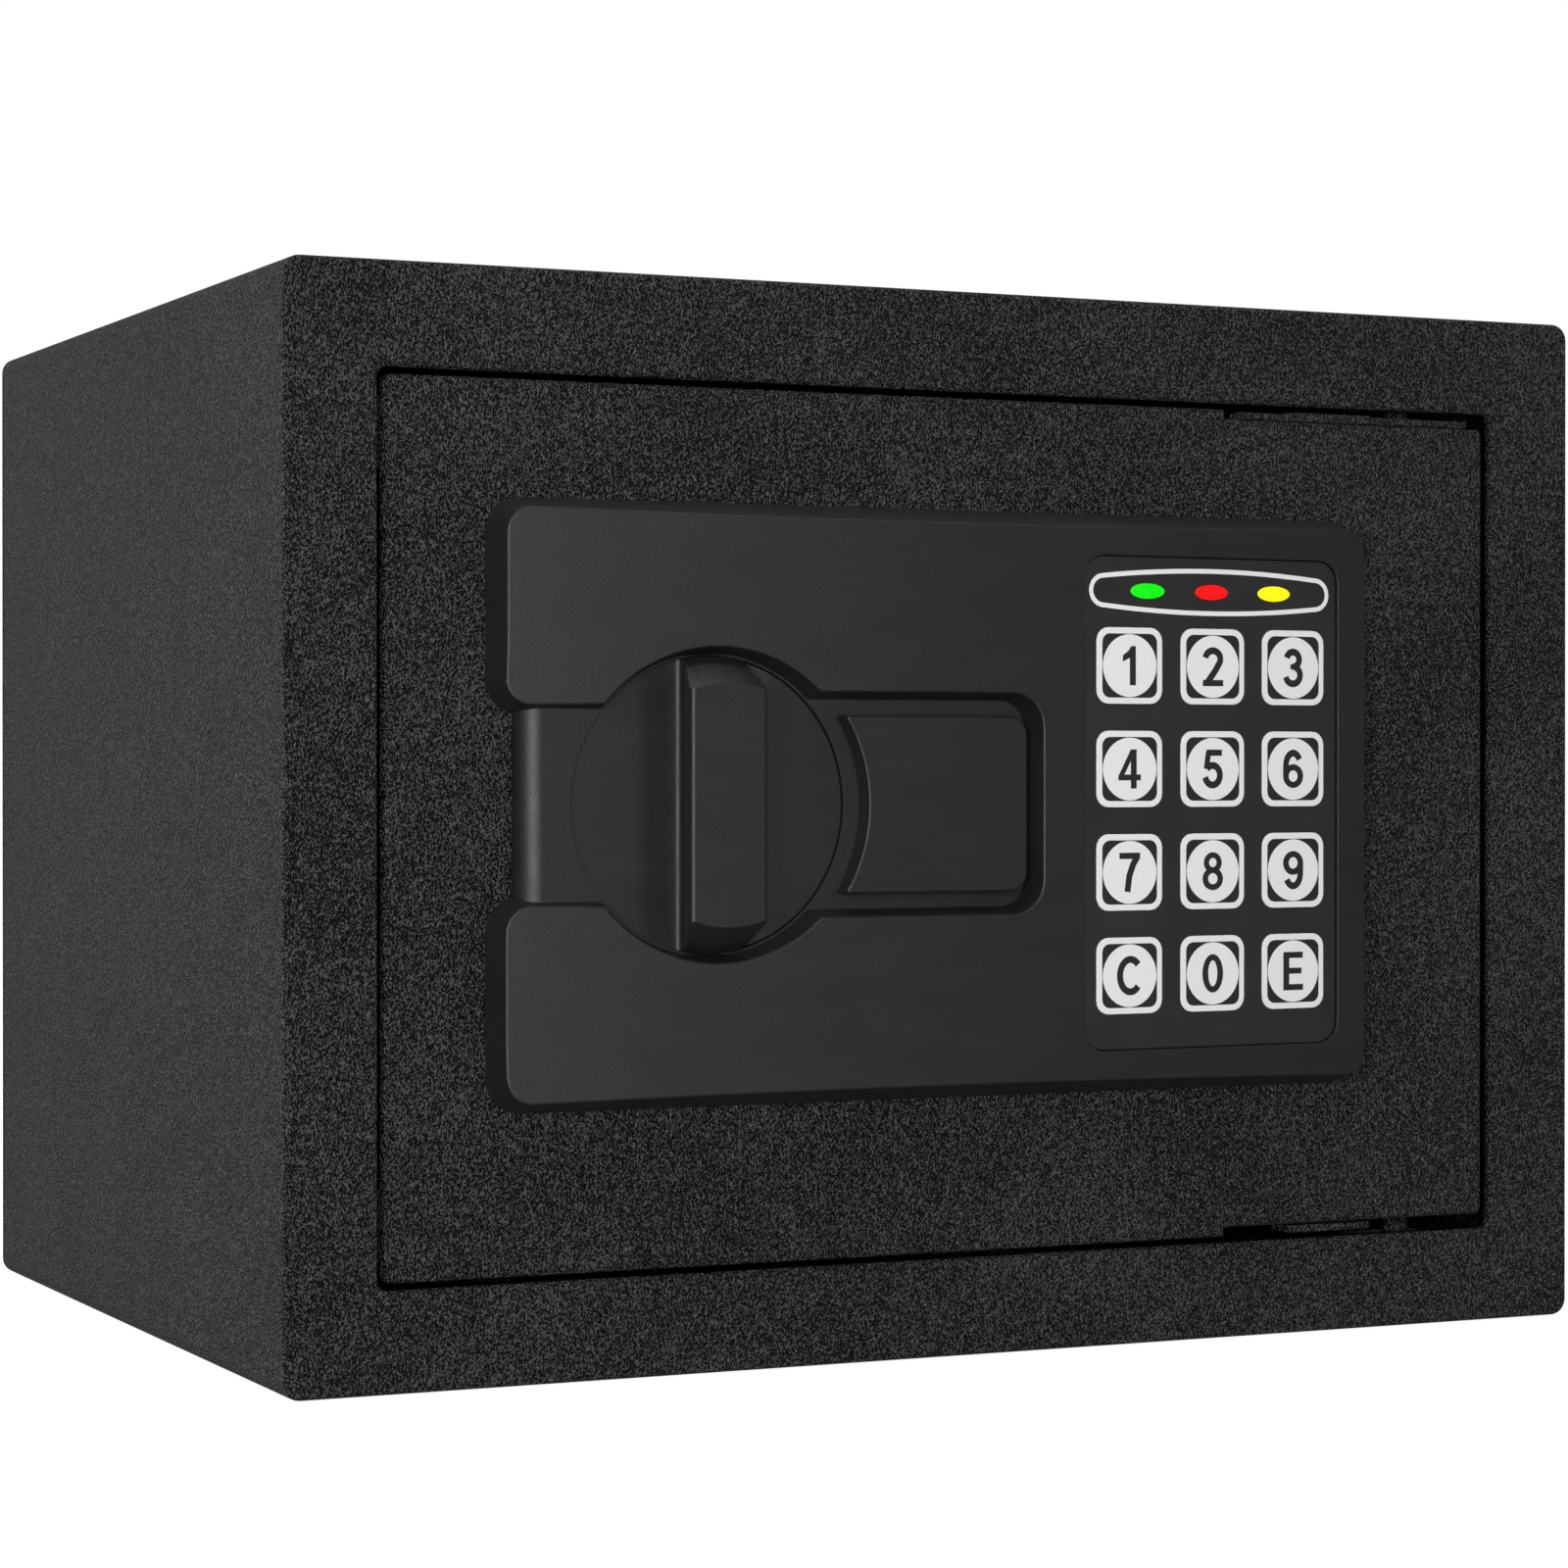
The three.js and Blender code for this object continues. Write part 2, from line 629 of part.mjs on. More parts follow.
function makeKnob() {
  const back = FRONT - KNOB.back;
  const rim = FRONT - KNOB.rim;
  const disc = cylinder("y", KNOB.radius, [KNOB.x, LOCK_Z], rim, back, 64);
  const knob = cut(
    join(cut(disc, makeScoop()), makeGrip()),
    cylinder("y", 4 + GAP, [KNOB.x, LOCK_Z], FRONT - 8, FRONT + 1),
  );
  add("knob", knob, PANEL_PLASTIC);
  add("knob_spindle", cylinder("y", 4, [KNOB.x, LOCK_Z], FRONT - 7.7, FRONT + 20.5), ZINC);

  const bush = cut(
    join(
      cylinder("y", BUSH_RADIUS, [KNOB.x, LOCK_Z], FRONT + 0.1, FRONT + 5),
      cylinder("y", 9, [KNOB.x, LOCK_Z], FRONT + PLATE + GAP, FRONT + 5),
    ),
    cylinder("y", 4 + GAP, [KNOB.x, LOCK_Z], FRONT - 1, FRONT + 6),
  );
  add("spindle_bush", bush, BRASS);
}

function makeDriveCrank() {
  const pinX = KNOB.x + CRANK_RADIUS * Math.sin(CRANK_ANGLE);
  const pinZ = LOCK_Z + CRANK_RADIUS * Math.cos(CRANK_ANGLE);
  const thickness = 3;
  const arm = slab(
    crankOutline(KNOB.x, LOCK_Z, 8, pinX, pinZ, 4.5),
    CRANK_Y,
    CRANK_Y + thickness,
  );
  const pin = cylinder(
    "y",
    CRANK_PIN_RADIUS,
    [pinX, pinZ],
    CRANK_Y + thickness - 0.5,
    WEB_Y + CARRIAGE.sheet + 2,
  );
  const bore = cylinder("y", 4 + GAP, [KNOB.x, LOCK_Z], CRANK_Y - 1, CRANK_Y + thickness + 1);
  add("drive_crank", cut(arm.add(pin), bore), ZINC);
}

// The outline round two circles of different size
function crankOutline(x0, z0, r0, x1, z1, r1) {
  const heading = Math.atan2(z1 - z0, x1 - x0);
  const spread = Math.acos((r0 - r1) / Math.hypot(x1 - x0, z1 - z0));
  const arc = (x, z, radius, from, to, steps) =>
    Array.from({ length: steps + 1 }, (_, i) => {
      const angle = from + ((to - from) * i) / steps;
      return new THREE.Vector2(x + radius * Math.cos(angle), z + radius * Math.sin(angle));
    });
  return [
    ...arc(x1, z1, r1, heading - spread, heading + spread, 10),
    ...arc(x0, z0, r0, heading + spread, heading - spread + 2 * Math.PI, 16),
  ];
}

// ---- Bolts and solenoid -------------------------------------------------------------------------
function makeCarriage() {
  const { left, right, low, high, sheet } = CARRIAGE;
  const slotX = KNOB.x + CRANK_RADIUS * Math.sin(CRANK_ANGLE);
  const slotHalf = CRANK_PIN_RADIUS + 0.5;
  const slotLow = LOCK_Z + CRANK_RADIUS * Math.cos(CRANK_ANGLE) - slotHalf - 1;
  const slotHigh = LOCK_Z + CRANK_RADIUS + slotHalf + 1;
  const webBack = WEB_Y + sheet;
  const notches = [0, THROW].map((shift) => {
    const x = PLUNGER.x + shift;
    const half = PLUNGER.radius + 0.5;
    return box(x - half, x + half, WEB_Y - 1, webBack + 1, TONGUE.low - 1, TONGUE.low + 4);
  });
  const web = box(left, right, WEB_Y, webBack, low, high);
  const flange = box(left, left + sheet, BOLT.y - BOLT.radius, webBack, low, high);
  const tongue = box(right - 2, TONGUE.right, WEB_Y, webBack, TONGUE.low, TONGUE.high);
  const slot = slab(
    roundedRectangle(slotX - slotHalf, slotX + slotHalf, slotLow, slotHigh, slotHalf - 0.01),
    WEB_Y - 1,
    webBack + 1,
  );
  const lighten = slab(
    roundedRectangle(left + 8, right - 6, LOCK_Z - 30, LOCK_Z - 8, 3),
    WEB_Y - 1,
    webBack + 1,
  );
  add("bolt_carriage", cut(join(web, flange, tongue), slot, lighten, ...notches), ZINC);
}

function makeBolts() {
  const names = ["upper_bolt", "lower_bolt"];
  names.forEach((name, i) => {
    const z = LOCK_Z + (i === 0 ? 1 : -1) * (BOLT.spacing / 2);
    const nose = 1.2;
    const body = cylinder("x", BOLT.radius, [BOLT.y, z], BOLT.tip + nose, BOLT.tail);
    const chamfer = new THREE.CylinderGeometry(BOLT.radius, BOLT.radius - nose, nose + 0.01, 32);
    chamfer.rotateZ(-Math.PI / 2);
    chamfer.translate(BOLT.tip + (nose + 0.01) / 2, BOLT.y, z);
    add(name, body.add(solid(chamfer)), STEEL);
  });
}

function makeBoltGuide() {
  const guide = { left: -88.5, sheet: 2.5, back: -57, foot: 10, low: 46, high: 131 };
  const start = FRONT + PLATE + GAP;
  const upright = box(guide.left, guide.left + guide.sheet, start, guide.back, guide.low, guide.high);
  const foot = box(guide.left, guide.left + guide.foot, start, start + 2, guide.low, guide.high);
  const holes = [1, -1].map((side) =>
    cylinder(
      "x",
      BOLT.radius + 0.5,
      [BOLT.y, LOCK_Z + (side * BOLT.spacing) / 2],
      guide.left - 1,
      guide.left + guide.sheet + 1,
    ),
  );
  add("bolt_guide", cut(join(upright, foot), ...holes), ZINC);
}

function makeSolenoid() {
  const frame = { left: -24, right: -2, low: 40, high: 62, front: -71, back: -53.5, sheet: 2 };
  const bore = PLUNGER.radius + GAP;
  const yoke = cut(
    box(frame.left, frame.right, frame.front, frame.back, frame.low, frame.high),
    box(
      frame.left + frame.sheet,
      frame.right + 1,
      frame.front - 1,
      frame.back + 1,
      frame.low + frame.sheet,
      frame.high - frame.sheet,
    ),
    cylinder("z", bore, [PLUNGER.x, PLUNGER.y], frame.high - 5, frame.high + 1, 24),
  );
  add("solenoid_frame", yoke, ZINC);

  const coilGap = frame.sheet + GAP;
  const coil = cut(
    cylinder(
      "z",
      7.6,
      [PLUNGER.x, PLUNGER.y],
      frame.low + coilGap,
      frame.high - coilGap,
    ),
    cylinder("z", bore, [PLUNGER.x, PLUNGER.y], frame.low, frame.high, 24),
  );
  add("solenoid_coil", coil, COPPER);
  add(
    "solenoid_plunger",
    cylinder("z", PLUNGER.radius, [PLUNGER.x, PLUNGER.y], PLUNGER.low, TONGUE.low - 0.5, 24),
    STEEL,
  );
}

// ---- Override lock ------------------------------------------------------------------------------
const PLUG_RADIUS = 6;
const BARREL_BACK = FRONT + 12;

function makeOverrideLock() {
  const centre = [LOCK_X, LOCK_Z];
  const rimBack = FRONT - FLOOR_HEIGHT - GAP;
  const barrel = cut(
    join(
      cylinder("y", 11, centre, rimBack - 0.9, rimBack),
      cylinder("y", BARREL_RADIUS, centre, rimBack - 0.5, BARREL_BACK),
    ),
    cylinder("y", PLUG_RADIUS + GAP, centre, rimBack - 3, BARREL_BACK + 1),
  );
  add("lock_barrel", barrel, ZINC);

  const plug = cut(
    cylinder("y", PLUG_RADIUS, centre, rimBack - 0.7, BARREL_BACK),
    box(LOCK_X - 0.8, LOCK_X + 0.8, rimBack - 3, rimBack + 8, LOCK_Z - 3.6, LOCK_Z + 3.6),
  );
  add("lock_plug", plug, BRASS);

  const cam = { length: 18, tipRadius: 3.5, hubRadius: 6, thickness: 2 };
  const camFront = BARREL_BACK + GAP;
  add(
    "lock_cam",
    slab(
      crankOutline(LOCK_X, LOCK_Z, cam.hubRadius, LOCK_X + cam.length, LOCK_Z, cam.tipRadius),
      camFront,
      camFront + cam.thickness,
    ),
    ZINC,
  );

  const nut = cut(
    cylinder("y", 13, centre, FRONT + PLATE + GAP, FRONT + PLATE + 4, 6),
    cylinder("y", BARREL_RADIUS + GAP, centre, FRONT, FRONT + 10),
  );
  add("lock_nut", nut, ZINC);
}

// The lift-off cover over the override lock: its left edge follows the knob
function makeKeyCover() {
  const outline = (out) => {
    const arcRadius = COVER_ARC - out;
    const high = COVER.halfHeight + out;
    const reach = Math.asin(high / arcRadius);
    const right = COVER.right + out;
    const corner = COVER.radius + out;
    const points = [];
    for (let i = 0; i <= 12; i++) {
      const angle = reach - (2 * reach * i) / 12;
      points.push(
        new THREE.Vector2(
          KNOB.x + arcRadius * Math.cos(angle),
          LOCK_Z + arcRadius * Math.sin(angle),
        ),
      );
    }
    for (const [side, start] of [
      [-1, -Math.PI / 2],
      [1, 0],
    ]) {
      for (let i = 0; i <= 4; i++) {
        const angle = start + (i / 4) * (Math.PI / 2);
        points.push(
          new THREE.Vector2(
            right - corner + corner * Math.cos(angle),
            LOCK_Z + side * (high - corner) + corner * Math.sin(angle),
          ),
        );
      }
    }
    return points;
  };
  const foot = FRONT - FLOOR_HEIGHT - GAP;
  const top = FRONT - COVER.height;
  const shell = cut(
    loft(outline(-0.3), top, outline(0), foot),
    slab(outline(-1.4), top + 1.3, foot + 1),
  );
  add("key_cover", shell, PANEL_PLASTIC);
}

// ---- Housing, batteries and reset button --------------------------------------------------------
const RESET = { x: 42, z: 122, radius: 3 };

function housingScrews() {
  const offset = HOUSING_FLANGE.width / 2;
  return SCREW_X.flatMap((x) => [
    [x, HOUSING.high + offset],
    [x, HOUSING.low - offset],
  ]);
}

function makeHousing() {
  const { left, right, low, high, back, sheet } = HOUSING;
  const front = FRONT + PLATE + GAP;
  const flange = box(
    HOUSING_FLANGE.left,
    HOUSING_FLANGE.right,
    front,
    front + sheet,
    low - HOUSING_FLANGE.width,
    high + HOUSING_FLANGE.width,
  );
  const boltHoles = [1, -1].map((side) =>
    cylinder(
      "x",
      BOLT.radius + 0.8,
      [BOLT.y, LOCK_Z + (side * BOLT.spacing) / 2],
      left - 1,
      left + sheet + 0.1,
    ),
  );
  const screwHoles = housingScrews().map(([x, z]) =>
    cylinder("y", 2.2, [x, z], front - 1, front + sheet + 1, 16),
  );
  const shell = cut(
    join(slab(roundedRectangle(left, right, low, high, 3), front, back), flange),
    slab(
      roundedRectangle(left + sheet, right - sheet, low + sheet, high - sheet, 1.8),
      front - 1,
      back - sheet,
    ),
    box(
      BATTERY.x - LID.halfWidth - 0.5,
      BATTERY.x + LID.halfWidth + 0.5,
      back - sheet - 1,
      back + 1,
      BATTERY.z - LID.halfHeight - 0.5,
      BATTERY.z + LID.halfHeight + 0.5,
    ),
    cylinder("y", RESET.radius + 0.3, [RESET.x, RESET.z], back - sheet - 1, back + 1, 24),
    ...boltHoles,
    ...screwHoles,
  );
  add("door_housing", shell, POWDER_COAT);
}

function makeHousingScrews() {
  const seat = FRONT + PLATE + GAP + HOUSING.sheet + GAP;
  housingScrews().forEach(([x, z], i) => {
    const head = cylinder("y", 3.6, [x, z], seat, seat + 2.2, 20);
    const shank = cylinder("y", 1.9, [x, z], FRONT + PLATE - 1.7, seat + 0.5, 16);
    const drive = box(x - 2.2, x + 2.2, seat + 1.2, seat + 3, z - 0.5, z + 0.5);
    const cross = box(x - 0.5, x + 0.5, seat + 1.2, seat + 3, z - 2.2, z + 2.2);
    add("cover_screw_" + (i + 1), cut(join(head, shank), drive, cross), ZINC);
  });
}

function makeBatteries() {
  const { halfWidth, halfHeight, front, wall } = BATTERY_BOX;
  const back = HOUSING.back - HOUSING.sheet - GAP;
  const tray = cut(
    box(
      BATTERY.x - halfWidth,
      BATTERY.x + halfWidth,
      front,
      back,
      BATTERY.z - halfHeight,
      BATTERY.z + halfHeight,
    ),
    box(
      BATTERY.x - halfWidth + wall,
      BATTERY.x + halfWidth - wall,
      front + wall,
      back + 1,
      BATTERY.z - halfHeight + wall,
      BATTERY.z + halfHeight - wall,
    ),
  );
  add("battery_box", tray, PANEL_PLASTIC);

  for (let i = 0; i < 4; i++) {
    const z = BATTERY.z + (1.5 - i) * BATTERY.pitch;
    const side = i % 2 === 0 ? 1 : -1;
    const start = BATTERY.x - BATTERY.length / 2;
    const end = BATTERY.x + BATTERY.length / 2;
    const centre = [BATTERY.y, z];
    const cell = cylinder("x", BATTERY.radius, centre, start, end, 20);
    const nub =
      side > 0
        ? cylinder("x", 2.7, centre, end - 0.5, end + 1, 12)
        : cylinder("x", 2.7, centre, start - 1, start + 0.5, 12);
    add("battery_" + (i + 1), cell.add(nub), CELL_WRAP);
  }
}

function makeBatteryLid() {
  const back = HOUSING.back;
  const front = back - HOUSING.sheet;
  const lid = box(
    BATTERY.x - LID.halfWidth,
    BATTERY.x + LID.halfWidth,
    front,
    back,
    BATTERY.z - LID.halfHeight,
    BATTERY.z + LID.halfHeight,
  );
  const ribs = [-6, 0, 6].map((shift) =>
    box(
      BATTERY.x + shift - 1,
      BATTERY.x + shift + 1,
      back - 0.2,
      back + 1,
      BATTERY.z + LID.halfHeight - 14,
      BATTERY.z + LID.halfHeight - 4,
    ),
  );
  add("battery_lid", join(lid, ...ribs), PANEL_PLASTIC);
}

function makeResetButton() {
  const stem = cylinder(
    "y",
    RESET.radius,
    [RESET.x, RESET.z],
    HOUSING.back - 8,
    HOUSING.back + 2,
    24,
  );
  add("reset_button", stem, finish(0xc01818, 0.4, 0));
}

// ---- Assembly -----------------------------------------------------------------------------------
makeCabinet();
makeHingeSockets();
makeDoorStops();
makeFloorMat();
makeDoorPlate();
makeHingeArms();
makeLockPanel();
makeKeypad();
makeKnob();
makeDriveCrank();
makeCarriage();
makeBolts();
makeBoltGuide();
makeSolenoid();
makeOverrideLock();
makeKeyCover();
makeHousing();
makeHousingScrews();
makeBatteries();
makeBatteryLid();
makeResetButton();

export default group;
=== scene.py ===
"""The looks of a small electronic safe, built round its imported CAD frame.

Lengths are in millimetres and are turned into metres when a mesh is made. X runs to the right, Y into
the cabinet and Z up. Most pieces lie on the door, so they are drawn as outlines in X and Z and raised
by a height measured out of the door, towards the viewer.
"""

import json
import math

import bmesh
import bpy
import numpy as np
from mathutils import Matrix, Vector
from mathutils.geometry import delaunay_2d_cdt

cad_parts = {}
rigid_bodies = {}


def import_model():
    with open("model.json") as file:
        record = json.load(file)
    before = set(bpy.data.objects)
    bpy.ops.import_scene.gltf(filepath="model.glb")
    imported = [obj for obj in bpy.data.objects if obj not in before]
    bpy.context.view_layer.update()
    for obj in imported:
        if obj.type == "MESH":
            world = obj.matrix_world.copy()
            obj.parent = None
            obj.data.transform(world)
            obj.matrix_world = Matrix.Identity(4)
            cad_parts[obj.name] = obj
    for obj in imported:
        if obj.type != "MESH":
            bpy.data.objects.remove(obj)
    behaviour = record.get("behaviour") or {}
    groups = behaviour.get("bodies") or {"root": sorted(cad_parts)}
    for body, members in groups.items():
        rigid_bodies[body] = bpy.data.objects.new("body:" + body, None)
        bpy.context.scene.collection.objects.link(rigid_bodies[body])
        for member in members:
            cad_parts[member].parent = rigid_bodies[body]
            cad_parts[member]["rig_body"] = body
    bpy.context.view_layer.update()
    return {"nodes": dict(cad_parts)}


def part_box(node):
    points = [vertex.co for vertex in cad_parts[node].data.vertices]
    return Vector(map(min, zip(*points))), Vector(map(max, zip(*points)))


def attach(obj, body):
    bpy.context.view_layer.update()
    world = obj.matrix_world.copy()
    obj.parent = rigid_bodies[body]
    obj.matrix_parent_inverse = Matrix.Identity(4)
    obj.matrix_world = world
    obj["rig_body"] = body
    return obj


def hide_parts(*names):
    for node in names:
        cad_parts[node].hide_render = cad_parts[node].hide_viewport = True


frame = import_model()

MM = 0.001


def corners(node):
    """The lowest and highest corners of a CAD node, in millimetres."""
    low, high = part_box(node)
    return low / MM, high / MM


# ---- Dimensions that come from the frame ---------------------
WRAP_LOW, WRAP_HIGH = corners("cabinet_wrap")
REAR_LOW, REAR_HIGH = corners("rear_panel")
DOOR_LOW, DOOR_HIGH = corners("door_plate")
PANEL_LOW, PANEL_HIGH = corners("lock_panel")
FILM_LOW, FILM_HIGH = corners("keypad_overlay")
KNOB_LOW, KNOB_HIGH = corners("knob")
COVER_LOW, COVER_HIGH = corners("key_cover")
MAT_LOW, MAT_HIGH = corners("floor_mat")
FRONT = corners("front_frame")[0].y
BACK = REAR_HIGH.y
KNOB_X = (KNOB_LOW.x + KNOB_HIGH.x) / 2
LOCK_Z = (KNOB_LOW.z + KNOB_HIGH.z) / 2
LOCK_X = (corners("lock_plug")[0].x + corners("lock_plug")[1].x) / 2
PANEL_MID_X = (PANEL_LOW.x + PANEL_HIGH.x) / 2

# ---- Dimensions of the finer shapes --------------------------
SHEET = 1.5
PLATE = 3.0
WRAP_RADIUS = 2.7
SHARP_ANGLE = 35
EDGE = 0.7  # rounding of the cabinet's front edges
INNER_RADIUS = 0.6
REAR_SEAM = {"reach": 0.2, "bevel": 0.3}  # the wrap's back edge reaches out to the rear plate
REAR_EDGE = 0.6
OPENING = {"left": -100.2, "right": 99.2, "low": 15.6, "high": 154.0, "radius": 1.6}
NOTCH = {"start": 46.8, "depth": 1.5}
DOOR_RADIUS = 1.2
DOOR_EDGE = 0.9
ANCHOR = {"radius": 4.5, "x": 50.0, "y": 10.0}
MAT = {"hole": 7.0, "radius": 3.0, "edge": 0.6, "below": 0.3, "nap": 0.12}
STRAP = {"left": 49.4, "right": 94.4, "sunk": 0.1, "tail": 0.2, "foot": 0.02, "top": 0.35}
SPINDLE_HOLE = 6.6
BARREL_HOLE = 9.3

CROWN_HEIGHT = 8.75
CROWN_RADIUS = 907.0
PANEL_RADIUS = 5.6
PANEL_DRAFT = 0.3
PANEL_EDGE = 0.3
PANEL_GAP = 0.25  # from the door
POCKET_DRAFT = 0.25
WELL_RADIUS = 22.33  # at the door; the wall leans out from here
CHANNEL_HALF = 13.7
RECESS = {"right": 6.0, "half": 15.4, "radius": 3.4}
FLOOR_HEIGHT = 4.0
FLOOR_WELL_RADIUS = 23.0  # the round hole that the knob sits in
FLOOR_MARGIN = 1.0  # how far the floor runs on under the panel, above and below the hole
CHANNEL_END = {"x": -79.0, "radius": 3.6}

FILM_SINK = 0.5
FILM_RADIUS = 3.5
FILM_THICKNESS = 0.8
FILM_EDGE = 0.15
FILM_GAP = 0.12
FILM_HOLE_EDGE = 0.06
FILM_GRID = 3.5
POCKET_DEPTH = 3.9
POCKET_EDGE = 0.2
KEY_RADIUS = 2.2
KEY_GAP = 0.1
KEY_RING = 1.0
KEY_RING_RADIUS = KEY_RADIUS - 0.8
KEY_EDGE = 0.12
KEY_DISC = 5.05
KEY_DEPTH = 2.2
KEY_RISE = 0.08
LED_GAP = 0.05
LENS_DOME = 0.18
KEY_NAMES = "1234567890ce"
LED_NAMES = ("green", "red", "yellow")
DIGIT_HEIGHT = 6.3
STROKE = 0.18  # of a digit's height
WINDOW = {"half": 23.25, "end": 2.75, "middle": 3.8, "line": 0.75}

GRIP = {"foot": 4.3, "top": 6.4, "height": 11.8, "corner": 0.7, "fillet": 0.9, "shoulder": 5.5,
        "end": 18.6}
DISC = {"edge": (KNOB_HIGH.x - KNOB_LOW.x) / 2, "back": 0.6, "rim": 3.2, "scoop": 0.5,
        "reach": 12.0}
KNOB_RINGS = 41  # along the grip, so that the scoops stay smooth
COVER = {"arc": 25.6, "radius": 3.0, "wall": 1.4, "gap": 0.12, "edge": 0.4, "tip": 0.3}
KEYWAY = {"half": 0.8, "tall": 3.6, "deep": 8.0}


# ---- Outlines ------------------------------------------------
class Outline:
    """A closed loop of points in X and Z. Each side, from a point to the next, has its own draft:
    how far it moves in for each millimetre of height."""

    def __init__(self, points, draft=0.0):
        self.points = [Vector(p) for p in points]
        self.drafts = [draft] * len(points) if not hasattr(draft, "__len__") else list(draft)

    def moves(self, drafts=None):
        """How each point moves as the sides move in by their drafts."""
        drafts = drafts or self.drafts
        count = len(self.points)
        out = []
        for i, point in enumerate(self.points):
            before = point - self.points[i - 1]
            after = self.points[(i + 1) % count] - point
            n1 = Vector((-before.y, before.x)).normalized()
            n2 = Vector((-after.y, after.x)).normalized()
            d1, d2 = drafts[i - 1], drafts[i]
            c = n1.dot(n2)
            if 1 - c * c < 0.01:
                out.append((n1 + n2).normalized() * (d1 + d2) / 2)
            else:
                out.append((n1 * (d1 - c * d2) + n2 * (d2 - c * d1)) / (1 - c * c))
        return out

    def inset(self, distance):
        moves = self.moves([1.0] * len(self.points))
        return Outline([p + m * distance for p, m in zip(self.points, moves)], self.drafts)

    def at(self, rise):
        """The loop after the sides have risen by `rise`."""
        return Outline([p + m * rise for p, m in zip(self.points, self.moves())], self.drafts)

    def divided(self, longest):
        """The same loop with no side longer than `longest`."""
        points = []
        drafts = []
        for i, start in enumerate(self.points):
            end = self.points[(i + 1) % len(self.points)]
            pieces = max(1, math.ceil((end - start).length / longest))
            for k in range(pieces):
                points.append(start.lerp(end, k / pieces))
                drafts.append(self.drafts[i])
        return Outline(points, drafts)


def arc(centre, radius, start, end, steps):
    """Points on an arc, both ends included; angles in degrees."""
    angles = np.radians(np.linspace(start, end, steps + 1))
    return [Vector((centre[0] + radius * math.cos(a), centre[1] + radius * math.sin(a))) for a in angles]


def rounded_box(x0, x1, z0, z1, radius, steps=6):
    points = arc((x1 - radius, z0 + radius), radius, -90, 0, steps)
    points += arc((x1 - radius, z1 - radius), radius, 0, 90, steps)
    points += arc((x0 + radius, z1 - radius), radius, 90, 180, steps)
    points += arc((x0 + radius, z0 + radius), radius, 180, 270, steps)
    return Outline(points)


def circle(x, z, radius, steps=64):
    return Outline(arc((x, z), radius, 0, 360, steps)[:-1])


# ---- Meshes --------------------------------------------------
def inside(loops, places):
    """Which of the places lie inside an odd number of the loops."""
    hits = np.zeros(len(places), int)
    px, pz = places[:, 0], places[:, 1]
    for loop in loops:
        for i, a in enumerate(loop):
            b = loop[i - 1]
            if a.y == b.y:
                continue
            spans = (a.y > pz) != (b.y > pz)
            crossing = (b.x - a.x) * (pz - a.y) / (b.y - a.y) + a.x
            hits += spans & (px < crossing)
    return hits % 2 == 1


class Builder:
    """Collects points and faces in millimetres, with heights out of the door."""

    def __init__(self):
        self.points = []
        self.faces = []
        self.paints = []

    def ring(self, loop, heights):
        """Adds a loop's points at one height or at a list of heights, and returns their numbers."""
        start = len(self.points)
        if not hasattr(heights, "__len__"):
            heights = [heights] * len(loop.points)
        self.points += [(p.x, h, p.y) for p, h in zip(loop.points, heights)]
        return list(range(start, len(self.points)))

    def face(self, numbers, paint=0):
        self.faces.append(numbers)
        self.paints.append(paint)

    def bridge(self, *rings):
        """Joins each ring to the next with four-sided faces."""
        count = len(rings[0])
        for first, second in zip(rings, rings[1:]):
            for i in range(count):
                j = (i + 1) % count
                self.face([first[i], first[j], second[j], second[i]])

    def fill(self, rings, height, spacing=None, marks=(), paint=None):
        """Fills the area inside the rings, and lays the marks' lines in it. New points take their
        height from height(x, z), and paint says which material each triangle gets."""
        flat = []
        numbers = []
        sides = []
        for loop in rings:
            start = len(flat)
            flat += [Vector((self.points[n][0], self.points[n][2])) for n in loop]
            numbers += loop
            sides += [(start + i, start + (i + 1) % len(loop)) for i in range(len(loop))]
        loops = [[Vector((self.points[n][0], self.points[n][2])) for n in loop] for loop in rings]
        for mark in marks:
            start = len(flat)
            flat += mark.points
            count = len(mark.points)
            closed = count if count > 2 else 1
            sides += [(start + i, start + (i + 1) % count) for i in range(closed)]
        if spacing:
            known = np.array([tuple(p) for p in flat])
            low, high = known.min(0), known.max(0)
            grid_x = np.arange(low[0] + spacing / 2, high[0], spacing)
            grid_z = np.arange(low[1] + spacing / 2, high[1], spacing)
            grid = np.array([(x, z) for x in grid_x for z in grid_z])
            if len(grid):
                grid = grid[inside(loops, grid)]
            for place in grid:
                if np.min(np.hypot(*(known - place).T)) > spacing * 0.45:
                    flat.append(Vector(place))
        made, _, triangles, origins, _, _ = delaunay_2d_cdt(flat, sides, [], 0, 1e-5)
        index = []
        for place, origin in zip(made, origins):
            old = [k for k in origin if k < len(numbers)]
            if old:
                index.append(numbers[old[0]])
            else:
                index.append(len(self.points))
                self.points.append((place.x, height(place.x, place.y), place.y))
        centres = np.array([tuple(sum((made[k] for k in t), Vector((0, 0))) / 3) for t in triangles])
        keep = inside(loops, centres)
        colours = paint(centres) if paint else np.zeros(len(triangles), int)
        for triangle, kept, colour in zip(triangles, keep, colours):
            if kept:
                self.face([index[k] for k in triangle], int(colour))

    def mesh(self, name, place=None):
        """Makes the object. place turns (x, height, z) into a point of the row frame, in mm."""
        place = place or (lambda x, h, z: (x, FRONT - h, z))
        points = [Vector(place(*p)) * MM for p in self.points]
        data = bpy.data.meshes.new(name)
        data.from_pydata(points, [], self.faces)
        data.polygons.foreach_set("material_index", self.paints)
        return finished(name, data)


